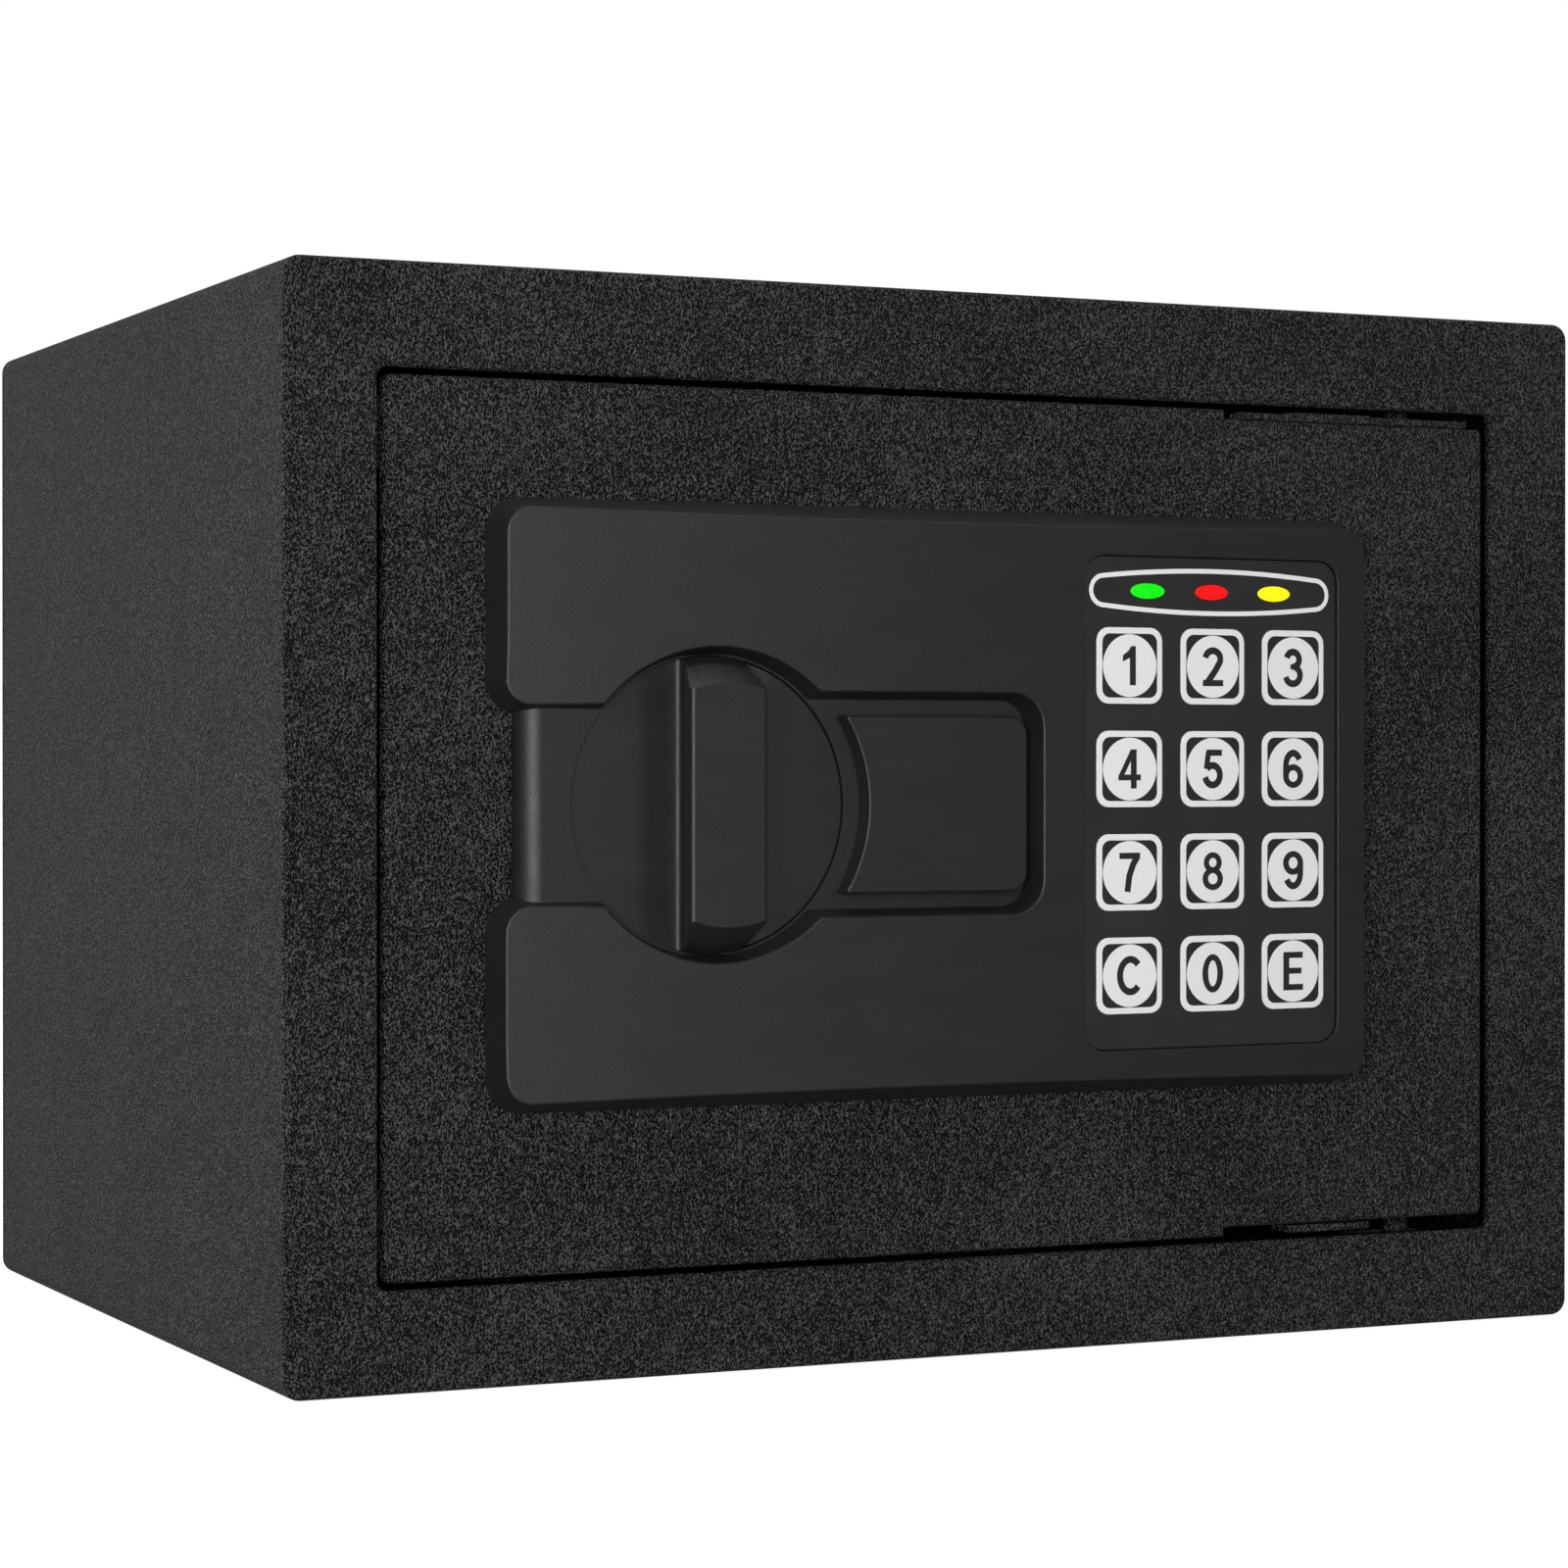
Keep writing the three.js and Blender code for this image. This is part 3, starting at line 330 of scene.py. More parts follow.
def finished(name, data):
    """An object with outward faces, smooth but for its sharp edges."""
    work = bmesh.new()
    work.from_mesh(data)
    bmesh.ops.remove_doubles(work, verts=work.verts, dist=1e-7)
    bmesh.ops.dissolve_degenerate(work, edges=work.edges, dist=1e-8)
    bmesh.ops.recalc_face_normals(work, faces=work.faces)
    work.to_mesh(data)
    work.free()
    data.polygons.foreach_set("use_smooth", [True] * len(data.polygons))
    data.set_sharp_from_angle(angle=math.radians(SHARP_ANGLE))
    piece = bpy.data.objects.new(name, data)
    bpy.context.scene.collection.objects.link(piece)
    even = piece.modifiers.new("even_normals", "WEIGHTED_NORMAL")
    even.keep_sharp = True
    even.weight = 80
    return piece


FILLET = [0.0, 0.12, 0.35, 0.65, 0.88, 1.0]


def rounded_rim(builder, outline, top, edge, outward=1.0):
    """Rings from the side up over a rounded edge to the top. top(x, z) is the height of the top, and
    outward is -1 for a hole, whose loop grows as it rounds over."""
    moves = outline.moves()
    units = outline.moves([1.0] * len(outline.points))
    rings = []
    for t in FILLET:
        loop, heights = [], []
        for p, draft_move, unit in zip(outline.points, moves, units):
            full = top(p.x, p.y)
            for _ in range(2):
                corner = p + draft_move * full
                full = top(corner.x, corner.y)
            low = p + draft_move * (full - edge)
            far = corner + unit * edge * outward
            loop.append(low.lerp(corner, t).lerp(corner.lerp(far, t), t))
            rise_far = top(far.x, far.y)
            heights.append((1 - t) ** 2 * (full - edge) + 2 * t * (1 - t) * full + t * t * rise_far)
        rings.append(builder.ring(Outline(loop), heights))
    builder.bridge(*rings)
    return rings[0], rings[-1]


def moulding(name, outline, top, bottom=0.0, edge=0.3, holes=(), back_edge=0.0, spacing=None, marks=(),
             paint=None, place=None):
    """A plate or moulded block: the outline with its drafts, a top that may be curved, rounded front
    edges, through holes, and lines laid in the top face."""
    if not callable(top):
        level = top
        top = lambda x, z: level
    b = Builder()
    wall, rim = rounded_rim(b, outline, top, edge)
    fronts, backs = [rim], []
    foot = b.ring(outline.at(bottom + back_edge), bottom + back_edge)
    b.bridge(foot, wall)
    if back_edge:
        under = b.ring(outline.at(bottom).inset(back_edge), bottom)
        b.bridge(under, foot)
        foot = under
    backs.append(foot)
    for hole in holes:
        hole_wall, hole_rim = rounded_rim(b, hole, top, min(edge, 0.15), outward=-1.0)
        hole_foot = b.ring(hole.at(bottom), bottom)
        b.bridge(hole_foot, hole_wall)
        fronts.append(hole_rim)
        backs.append(hole_foot)
    b.fill(fronts, top, spacing, marks, paint)
    b.fill(backs, lambda x, z: bottom)
    return b.mesh(name, place)


# ---- Materials -----------------------------------------------
class Look:
    """A material: one principled shader, and the textures laid in the piece's own space."""

    def __init__(self, name, colour, roughness, metallic=0.0, **sockets):
        self.material = bpy.data.materials.new(name)
        self.material.use_nodes = True
        self.tree = self.material.node_tree
        self.shader = self.tree.nodes["Principled BSDF"]
        self.place = self.tree.nodes.new("ShaderNodeTexCoord").outputs["Object"]
        self.set("Base Color", (*colour, 1.0))
        self.set("Roughness", roughness)
        self.set("Metallic", metallic)
        for socket, value in sockets.items():
            self.set(socket.replace("_", " "), value)

    def set(self, socket, value):
        self.shader.inputs[socket].default_value = value

    def link(self, output, node, socket):
        self.tree.links.new(output, node.inputs[socket])

    def stretched(self, stretch):
        mapping = self.tree.nodes.new("ShaderNodeMapping")
        mapping.inputs["Scale"].default_value = stretch
        self.link(self.place, mapping, "Vector")
        return mapping.outputs["Vector"]

    def noise(self, size, detail=2.0, roughness=0.5, stretch=None, distortion=0.0):
        """Noise whose features are about `size` millimetres across."""
        texture = self.tree.nodes.new("ShaderNodeTexNoise")
        texture.inputs["Scale"].default_value = 1 / (size * MM)
        texture.inputs["Detail"].default_value = detail
        texture.inputs["Roughness"].default_value = roughness
        texture.inputs["Distortion"].default_value = distortion
        self.link(self.stretched(stretch) if stretch else self.place, texture, "Vector")
        return texture.outputs["Fac"]

    def mapped(self, value, low, high, to_low, to_high):
        step = self.tree.nodes.new("ShaderNodeMapRange")
        self.link(value, step, "Value")
        limits = {"From Min": low, "From Max": high, "To Min": to_low, "To Max": to_high}
        for socket, number in limits.items():
            step.inputs[socket].default_value = number
        return step.outputs["Result"]

    def sum(self, first, second, weight):
        """first + weight * second."""
        step = self.tree.nodes.new("ShaderNodeMath")
        step.operation = "MULTIPLY_ADD"
        self.link(second, step, 0)
        step.inputs[1].default_value = weight
        self.link(first, step, 2)
        return step.outputs["Value"]

    def colours(self, value, stops):
        """The base colour from a ramp of (position, colour)."""
        ramp = self.tree.nodes.new("ShaderNodeValToRGB")
        elements = ramp.color_ramp.elements
        while len(elements) < len(stops):
            elements.new(0.5)
        for element, (position, colour) in zip(elements, stops):
            element.position = position
            element.color = (*colour, 1.0)
        self.link(value, ramp, "Fac")
        self.link(ramp.outputs["Color"], self.shader, "Base Color")

    def roughness(self, value, low, high):
        self.link(self.mapped(value, 0.3, 0.7, low, high), self.shader, "Roughness")

    def bump(self, height, depth):
        """Relief: `depth` is in millimetres."""
        step = self.tree.nodes.new("ShaderNodeBump")
        step.inputs["Strength"].default_value = 1.0
        step.inputs["Distance"].default_value = depth * MM
        self.link(height, step, "Height")
        self.link(step.outputs["Normal"], self.shader, "Normal")


def grey(value):
    return (value, value, value)


def powder_coat():
    """Black powder coat with a raised wrinkle. Its colour follows the wrinkle: painted shade in the
    hollows and a painted highlight on the crests.
    """
    look = Look("powder_coat", grey(0.02), 0.5, Specular_IOR_Level=0.2)
    wrinkle = look.noise(0.31, detail=0.0, stretch=(1.4, 0.6, 0.95))
    drift = look.noise(30, detail=2)
    # painted shade and highlight: the ramp darkens the wrinkle's hollows and brightens its crests, as the
    # relief would be lit, plus a slow drift in tone
    tones = [(0.49, grey(0.001)), (0.575, grey(0.016)), (0.66, grey(0.078))]
    look.colours(look.sum(wrinkle, drift, 0.15), tones)
    look.roughness(drift, 0.48, 0.54)
    look.bump(wrinkle, 1.0)
    return look.material


def panel_plastic():
    """Black moulded plastic with a fine satin grain."""
    look = Look("panel_plastic", grey(0.012), 0.5)
    grain = look.noise(0.3, detail=2.0)
    flow = look.noise(14, detail=2, stretch=(1, 1, 3))
    look.colours(look.sum(grain, flow, 0.5), [(0.4, grey(0.0065)), (1.0, grey(0.0105))])
    look.roughness(flow, 0.48, 0.54)
    look.bump(grain, 0.04)
    return look.material


def overlay_film():
    look = Look("overlay_film", grey(0.0125), 0.38)
    grain = look.noise(0.15, detail=1.0)
    flow = look.noise(10, detail=2)
    look.colours(flow, [(0.3, grey(0.0155)), (0.7, grey(0.0195))])
    look.roughness(flow, 0.36, 0.42)
    look.bump(grain, 0.004)
    return look.material


def ink(name, tone, spread):
    """Printed ink: nearly even, with a slight mottle."""
    look = Look(name, grey(tone), 0.45)
    mottle = look.noise(0.6, detail=3)
    look.colours(mottle, [(0.3, grey(tone - spread)), (0.7, grey(tone + spread))])
    look.roughness(mottle, 0.42, 0.5)
    look.bump(mottle, 0.003)
    return look.material


def plated(name, tones, roughness):
    """Plated or bare metal: faint brushing over a cloudy surface."""
    look = Look(name, tones[1], roughness, metallic=1.0)
    clouds = look.noise(9, detail=4)
    brushing = look.noise(0.35, detail=2, stretch=(0.06, 1, 1))
    look.colours(clouds, [(0.3, tones[0]), (0.7, tones[1])])
    look.roughness(look.sum(clouds, brushing, 0.4), roughness - 0.06, roughness + 0.12)
    look.bump(brushing, 0.006)
    return look.material


def felt():
    look = Look("felt", grey(0.05), 0.95, Sheen_Weight=0.25, Sheen_Roughness=0.6)
    fibres = look.noise(0.5, detail=4, roughness=0.7, distortion=1.2)
    tufts = look.noise(4, detail=3)
    look.colours(look.sum(fibres, tufts, 0.6), [(0.5, grey(0.018)), (1.1, grey(0.075))])
    look.bump(fibres, 0.35)
    return look.material


def plain(name, dark, light, roughness):
    """Any moulded or printed colour, with a fine grain in its tone, gloss and relief."""
    look = Look(name, light, roughness)
    texture = look.noise(0.5, detail=3)
    look.colours(texture, [(0.3, dark), (0.7, light)])
    look.roughness(texture, roughness - 0.04, roughness + 0.04)
    look.bump(texture, 0.01)
    return look.material


def lamp(name, dark, light):
    look = Look(name, light, 0.3, Emission_Strength=0.35)
    look.set("Emission Color", (*light, 1.0))
    body = look.noise(1.2, detail=2)
    look.colours(body, [(0.3, dark), (0.7, light)])
    look.roughness(body, 0.28, 0.34)
    return look.material


LOOKS = {
    "powder_coat": powder_coat(),
    "panel_plastic": panel_plastic(),
    "overlay_film": overlay_film(),
    "key_white": ink("key_white", 0.80, 0.01),
    "zinc_plate": plated("zinc_plate", ((0.46, 0.47, 0.49), (0.62, 0.63, 0.64)), 0.34),
    "bright_steel": plated("bright_steel", (grey(0.50), grey(0.62)), 0.24),
    "brass": plated("brass", ((0.55, 0.38, 0.14), (0.70, 0.52, 0.22)), 0.3),
    "felt": felt(),
    "board_green": plain("board_green", (0.006, 0.055, 0.02), (0.012, 0.085, 0.032), 0.35),
    "coil_tape": plain("coil_tape", (0.20, 0.10, 0.012), (0.30, 0.16, 0.02), 0.32),
    "cell_wrap": plain("cell_wrap", (0.018, 0.05, 0.13), (0.03, 0.075, 0.18), 0.28),
    "led_green": lamp("led_green", (0.0, 0.72, 0.0), (0.003, 0.80, 0.003)),
    "led_red": lamp("led_red", (0.74, 0.001, 0.001), (0.82, 0.002, 0.002)),
    "led_yellow": lamp("led_yellow", (0.86, 0.76, 0.0), (0.92, 0.84, 0.002)),
    "button_red": plain("button_red", (0.42, 0.008, 0.008), (0.52, 0.012, 0.012), 0.35),
}
INK_WHITE = ink("print_white", 0.82, 0.01)
INK_DARK = ink("print_dark", 0.013, 0.001)


def dress(piece, body, slot, *nodes, extra=()):
    """Gives a piece its body, its finish and the CAD nodes that it stands for."""
    for look in (LOOKS[slot], *extra):
        piece.data.materials.append(look)
    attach(piece, body)
    if nodes:
        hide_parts(*nodes)
    return piece


# ---- Joining, cutting and refining ---------------------------
def combined(piece, other, operation):
    """The boolean of two pieces, in place of both."""
    piece.modifiers.clear()
    step = piece.modifiers.new("cut", "BOOLEAN")
    step.operation = operation
    step.solver = "EXACT"
    step.object = other
    bpy.context.view_layer.update()
    shape = bpy.data.meshes.new_from_object(piece.evaluated_get(bpy.context.evaluated_depsgraph_get()))
    name = piece.name
    bpy.data.objects.remove(piece)
    bpy.data.objects.remove(other)
    return finished(name, shape)


def rounded_edges(piece, width, segments=2, angle=40):
    """Rounds every sharp edge with a small bevel."""
    bevel = piece.modifiers.new("edges", "BEVEL")
    bevel.width = width * MM
    bevel.segments = segments
    bevel.limit_method = "ANGLE"
    bevel.angle_limit = math.radians(angle)
    piece.modifiers.move(len(piece.modifiers) - 1, 0)
    return piece


def turned(name, profile, centre, axis="y", steps=64, ring=False):
    """A lathe solid. profile is (radius, distance along the axis); a ring's profile closes on itself."""
    b = Builder()
    loops = [b.ring(circle(0, 0, radius, steps), along) for radius, along in profile]
    b.bridge(*loops)
    if ring:
        b.bridge(loops[-1], loops[0])
    else:
        b.face(loops[0])
        b.face(loops[-1])
    places = {
        "x": lambda u, h, v: (centre[0] + h, centre[1] + u, centre[2] + v),
        "y": lambda u, h, v: (centre[0] + u, centre[1] + h, centre[2] + v),
        "z": lambda u, h, v: (centre[0] + u, centre[1] + v, centre[2] + h),
    }
    return b.mesh(name, places[axis])


def block(name, x0, x1, y0, y1, z0, z1):
    b = Builder()
    loop = Outline([(x0, z0), (x1, z0), (x1, z1), (x0, z1)])
    near, far = b.ring(loop, FRONT - y0), b.ring(loop, FRONT - y1)
    b.bridge(near, far)
    b.face(near)
    b.face(far)
    return b.mesh(name)


def refined(node):
    """A CAD node's shape with its flat faces whole and its edges rounded."""
    data = frame["nodes"][node].data.copy()
    slot = data.materials[0].name
    work = bmesh.new()
    work.from_mesh(data)
    bmesh.ops.remove_doubles(work, verts=work.verts, dist=2e-6)
    bmesh.ops.dissolve_limit(work, angle_limit=math.radians(1), verts=work.verts, edges=work.edges)
    work.to_mesh(data)
    work.free()
    data.materials.clear()
    piece = rounded_edges(finished(node + "_shape", data), 0.25)
    return dress(piece, frame["nodes"][node]["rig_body"], slot, node)


# ---- Cabinet -------------------------------------------------
def cabinet_loop(inset):
    return rounded_box(
        WRAP_LOW.x + inset, WRAP_HIGH.x - inset, WRAP_LOW.z + inset, WRAP_HIGH.z - inset,
        max(WRAP_RADIUS - inset, INNER_RADIUS),
    )


def make_cabinet():
    """Wrap and front frame in one skin, as welded, ground and coated."""
    b = Builder()
    rear, bevel = FRONT - WRAP_HIGH.y - REAR_SEAM["reach"], REAR_SEAM["bevel"]
    lip = b.ring(cabinet_loop(bevel), rear)
    rings = [lip, b.ring(cabinet_loop(0), rear + bevel)]
    opening = rounded_box(OPENING["left"], OPENING["right"], OPENING["low"], OPENING["high"],
                          OPENING["radius"])
    throat = []
    for t in FILLET:
        s, c = math.sin(t * math.pi / 2), math.cos(t * math.pi / 2)
        rings.append(b.ring(cabinet_loop(EDGE * (1 - c)), -EDGE * (1 - s)))
        throat.append(b.ring(opening.inset(-EDGE * (1 - s)), -EDGE * (1 - c)))
    throat.append(b.ring(opening, -PLATE))
    b.bridge(*rings)
    b.bridge(*throat)
    b.fill([rings[-1], throat[0]], lambda x, z: 0.0)

    inner = [b.ring(cabinet_loop(SHEET), -PLATE), b.ring(cabinet_loop(SHEET), rear)]
    b.fill([inner[0], throat[-1]], lambda x, z: -PLATE)
    b.bridge(inner[0], inner[1])
    b.bridge(inner[1], lip)
    shell = b.mesh("cabinet_shell")
    for side in (-1, 1):
        drill = turned("drill", [(ANCHOR["radius"], -2), (ANCHOR["radius"], 3)],
                       (side * ANCHOR["x"], ANCHOR["y"], 0), "z", 40)
        shell = combined(shell, drill, "DIFFERENCE")
    dress(shell, "cabinet", "powder_coat", "cabinet_wrap", "front_frame")


def make_rear_panel():
    """The back plate, which closes the wrap behind a fine seam."""
    mid_z = (REAR_LOW.z + REAR_HIGH.z) / 2
    holes = [circle(side * ANCHOR["x"], mid_z, ANCHOR["radius"], 40) for side in (-1, 1)]
    panel = moulding("rear_plate", cabinet_loop(0), SHEET, edge=REAR_EDGE, holes=holes,
                     back_edge=REAR_SEAM["bevel"], place=lambda x, h, z: (x, BACK - SHEET + h, z))
    dress(panel, "cabinet", "powder_coat", "rear_panel")


def make_floor_mat():
    """A felt mat laid on the floor, with round holes over the anchors."""
    outline = rounded_box(MAT_LOW.x, MAT_HIGH.x, MAT_LOW.y, MAT_HIGH.y, MAT["radius"])
    holes = [circle(side * ANCHOR["x"], ANCHOR["y"], MAT["hole"], 40) for side in (-1, 1)]
    thickness = MAT_HIGH.z - MAT_LOW.z - MAT["below"]

    def nap(x, y):
        return thickness + MAT["nap"] * math.sin(0.11 * x + 1.3) * math.sin(0.13 * y + 0.4)

    mat = moulding("felt_mat", outline, nap, edge=MAT["edge"], holes=holes, spacing=9,
                   place=lambda x, h, y: (x, y, MAT_LOW.z + h))
    dress(mat, "cabinet", "felt", "floor_mat")


# ---- Door ----------------------------------------------------
def make_door():
    low, high = DOOR_LOW.z, DOOR_HIGH.z
    left, right = DOOR_LOW.x, DOOR_HIGH.x
    step, depth, r = NOTCH["start"], NOTCH["depth"], DOOR_RADIUS
    points = [Vector((step, low)), Vector((step, low + depth))]
    points += arc((right - r, low + depth + r), r, -90, 0, 5)
    points += arc((right - r, high - depth - r), r, 0, 90, 5)
    points += [Vector((step, high - depth)), Vector((step, high))]
    points += arc((left + r, high - r), r, 90, 180, 5)
    points += arc((left + r, low + r), r, 180, 270, 5)
    holes = [circle(KNOB_X, LOCK_Z, SPINDLE_HOLE, 40), circle(LOCK_X, LOCK_Z, BARREL_HOLE, 40)]
    door = moulding("door_leaf", Outline(points), 0, bottom=-PLATE, edge=DOOR_EDGE, holes=holes,
                    back_edge=0.4)
    dress(door, "door", "powder_coat", "door_plate")


def make_upper_hinge_strap():
    """The strap that fills most of the upper notch; the lower notch shows only a short lug."""
    strap = block("upper_hinge_strap", STRAP["left"], STRAP["right"], FRONT + STRAP["sunk"],
                  FRONT + PLATE + STRAP["tail"], DOOR_HIGH.z - NOTCH["depth"] + STRAP["foot"],
                  DOOR_HIGH.z - STRAP["top"])
    dress(rounded_edges(strap, 0.15), "door", "powder_coat")


# ---- Lock panel ----------------------------------------------
def crown(x, z=0.0):
    reach = x - PANEL_MID_X
    return CROWN_HEIGHT - CROWN_RADIUS + math.sqrt(CROWN_RADIUS * CROWN_RADIUS - reach * reach)


def well_corner(half, side):
    """Where the well's circle meets a level line `half` above the knob's axis; side is -1 or 1."""
    return side * math.sqrt(WELL_RADIUS ** 2 - half ** 2)


def panel_outline():
    """The raised face at the level of the door: a block with a channel, a well and a recess let in
    from its left."""
    left, right = PANEL_LOW.x, PANEL_HIGH.x
    half = (PANEL_HIGH.z - PANEL_LOW.z) / 2
    r, small = PANEL_RADIUS, RECESS["radius"]
    mouth, recess = CHANNEL_HALF, RECESS["half"]
    enter = math.degrees(math.acos(well_corner(mouth, -1) / WELL_RADIUS))
    leave = math.degrees(math.acos(well_corner(recess, 1) / WELL_RADIUS))
    runs = [
        (arc((left + r, r - half), r, 180, 270, 8), PANEL_DRAFT),
        (arc((right - r, r - half), r, -90, 0, 8), PANEL_DRAFT),
        (arc((right - r, half - r), r, 0, 90, 8), PANEL_DRAFT),
        (arc((left + r, half - r), r, 90, 180, 8), PANEL_DRAFT),
        (arc((left + r, mouth + r), r, 180, 270, 8), POCKET_DRAFT),
        (arc((KNOB_X, 0), WELL_RADIUS, enter, leave, 28), POCKET_DRAFT),
        (arc((RECESS["right"] - small, recess - small), small, 90, 0, 8), POCKET_DRAFT),
        (arc((RECESS["right"] - small, small - recess), small, 0, -90, 8), POCKET_DRAFT),
        (arc((KNOB_X, 0), WELL_RADIUS, -leave, -enter, 28), POCKET_DRAFT),
        (arc((left + r, -mouth - r), r, 90, 180, 8), POCKET_DRAFT),
    ]
    points = [Vector((p.x, p.y + LOCK_Z)) for run, _ in runs for p in run]
    drafts = [draft for run, draft in runs for _ in run]
    return Outline(points, drafts).divided(6)


def film_outline(out):
    return rounded_box(FILM_LOW.x - out, FILM_HIGH.x + out, FILM_LOW.z - out, FILM_HIGH.z + out,
                       FILM_RADIUS + out, 6).divided(5)


def make_panel():
    """The raised body, and the floor of its channel and recess."""
    b = Builder()
    wall, rim = rounded_rim(b, panel_outline(), crown, PANEL_EDGE)
    foot = b.ring(panel_outline(), PANEL_GAP)
    b.bridge(foot, wall)
    pocket = film_outline(FILM_GAP)
    pocket_wall, pocket_rim = rounded_rim(b, pocket, crown, POCKET_EDGE, outward=-1.0)
    floor = b.ring(pocket, [crown(p.x) - POCKET_DEPTH for p in pocket.points])
    b.bridge(floor, pocket_wall)
    b.fill([rim, pocket_rim], crown, spacing=5)
    b.fill([floor], lambda x, z: crown(x) - POCKET_DEPTH)
    b.fill([foot], lambda x, z: PANEL_GAP)
    body = b.mesh("lock_panel_body")

    start, end, r = CHANNEL_END["x"], RECESS["right"] + 4, CHANNEL_END["radius"]
    half = FLOOR_WELL_RADIUS + FLOOR_MARGIN

    def ledge(x, z):
        """The channel's floor, which rolls down to the door at its left end."""
        reach = min(max(x - start, 0), r)
        return FLOOR_HEIGHT - r + math.sqrt(r * r - (r - reach) ** 2)

    outline = rounded_box(start, end, LOCK_Z - half, LOCK_Z + half, 0.2, 1)
    bends = [start + r * (1 - math.cos(math.radians(a))) for a in range(18, 91, 8)]
    marks = [Outline([(x, LOCK_Z - half + 0.6), (x, LOCK_Z + half - 0.6)]) for x in bends]
    holes = [circle(KNOB_X, LOCK_Z, FLOOR_WELL_RADIUS, 96), circle(LOCK_X, LOCK_Z, BARREL_HOLE, 40)]
    ledge_piece = moulding("lock_panel_floor", outline, ledge, bottom=0.3, edge=0.05, holes=holes,
                           marks=marks)
    dress(body, "door", "panel_plastic", "lock_panel")
    dress(ledge_piece, "door", "panel_plastic", "lock_panel")


# ---- Keypad --------------------------------------------------
def film_top(x, z=0.0):
    return crown(x) - FILM_SINK


def film_back(x, z=0.0):
    return film_top(x) - FILM_THICKNESS


def bow(x, z, half_width, half_height, start, end, steps=14):
    """Points on an elliptical arc, angles in degrees."""
    angles = np.radians(np.linspace(start, end, steps + 1))
    return [Vector((x + half_width * math.cos(a), z + half_height * math.sin(a))) for a in angles]


def stroke(path, width=STROKE):
    """A line of even width, square at its ends, as a shape of one loop."""
    left, right = [], []
    for i, point in enumerate(path):
        before = (point - path[i - 1]).normalized() if i else None
        after = (path[i + 1] - point).normalized() if i + 1 < len(path) else None
        heading = (before + after).normalized() if before and after else (before or after)
        stretch = 1 / max(0.5, heading.dot(before or after))
        side = Vector((-heading.y, heading.x)) * width / 2 * stretch
        left.append(point + side)
        right.append(point - side)
    return [left + right[::-1]]


def bowl(x, z, half_width, half_height, width=STROKE):
    """A closed ring, as a shape of an outer and an inner loop."""
    return [bow(x, z, half_width + side * width / 2, half_height + side * width * 0.45, 0, 360, 32)[:-1]
            for side in (1, -1)]


def bar(x0, x1, z0, z1):
    return [[Vector((x0, z0)), Vector((x1, z0)), Vector((x1, z1)), Vector((x0, z1))]]


def glyph(name):
    """A bold digit or letter of unit height about its middle, as shapes that may overlap. Each shape
    is a list of loops, filled between them."""
    a, b = 0.23, 0.415
    if name == "0":
        return [bowl(0, 0, a, b)]
    if name == "1":
        flag = [(0.18, -0.5), (0.18, 0.5), (0.04, 0.5), (-0.04, 0.38), (-0.21, 0.26), (-0.21, 0.1),
                (0.0, 0.2), (0.0, -0.5)]
        return [[[Vector(p) for p in flag]]]
    if name == "2":
        sweep = bow(0, 0.2, a, b - 0.2, 172, -25) + [Vector((0.06, -0.12)), Vector((-0.2, -0.44))]
        return [stroke(sweep), bar(-0.31, 0.32, -0.5, -0.34)]
    if name == "3":
        upper = bow(-0.01, 0.22, 0.2, b - 0.22, 168, -85)
        lower = bow(-0.01, -0.19, a, b - 0.19, 85, -168)
        return [stroke(upper), stroke(lower), bar(-0.09, 0.04, -0.04, 0.095)]
    if name == "4":
        return [bar(0.03, 0.205, -0.5, 0.5), bar(-0.34, 0.33, -0.29, -0.14),
                stroke([Vector((-0.27, -0.2)), Vector((0.09, 0.46))], 0.14)]
    if name == "5":
        return [bar(-0.19, 0.28, 0.34, 0.5), stroke([Vector((-0.13, 0.45)), Vector((-0.2, 0.0))], 0.16),
                stroke(bow(-0.01, -0.16, a, b - 0.16, 140, -168))]
    if name == "6":
        back = bow(0, 0.08, a, b - 0.08, 30, 180) + [Vector((-a, -0.2))]
        return [stroke(back), bowl(0, -0.185, a, b - 0.185)]
    if name == "7":
        fall = [Vector((0.24, 0.42)), Vector((0.1, 0.2)), Vector((-0.01, -0.08)), Vector((-0.07, -0.5))]
        return [bar(-0.31, 0.31, 0.34, 0.5), stroke(fall)]
    if name == "8":
        return [bowl(0, 0.222, 0.195, b - 0.222, 0.165), bowl(0, -0.195, a, b - 0.195, 0.17)]
    if name == "9":
        return [[[-p for p in loop] for loop in shape] for shape in glyph("6")]
    if name == "c":
        return [stroke(bow(0.02, 0, 0.31, b, 42, 318, 26))]
    return [bar(-0.31, -0.12, -0.5, 0.5), bar(-0.31, 0.31, 0.34, 0.5), bar(-0.31, 0.27, -0.07, 0.085),
            bar(-0.31, 0.32, -0.5, -0.34)]


def key_outline(name, out):
    low, high = corners("key_" + name)
    return rounded_box(low.x - out, high.x + out, low.z - out, high.z + out, KEY_RADIUS + out, 5)


def led_outline(name, out):
    low, high = corners("led_" + name)
    middle = (low + high) / 2
    return Outline(bow(middle.x, middle.z, (high.x - low.x) / 2 + out, (high.z - low.z) / 2 + out,
                       0, 360, 40)[:-1])


def window_outline():
    """The printed line round the lights: round ends, with a slight bulge above and below."""
    low, high = corners("led_red")
    x, z = (low.x + high.x) / 2, (low.z + high.z) / 2
    half, end, middle = WINDOW["half"], WINDOW["end"], WINDOW["middle"]
    across = np.linspace(1, -1, 17)
    top = [Vector((s * (half - end), middle - (middle - end) * s * s)) for s in across]
    left = arc((end - half, 0), end, 100, 260, 10)
    loop = top + left + [-p for p in top] + [-p for p in left]
    return Outline([p + Vector((x, z)) for p in loop])


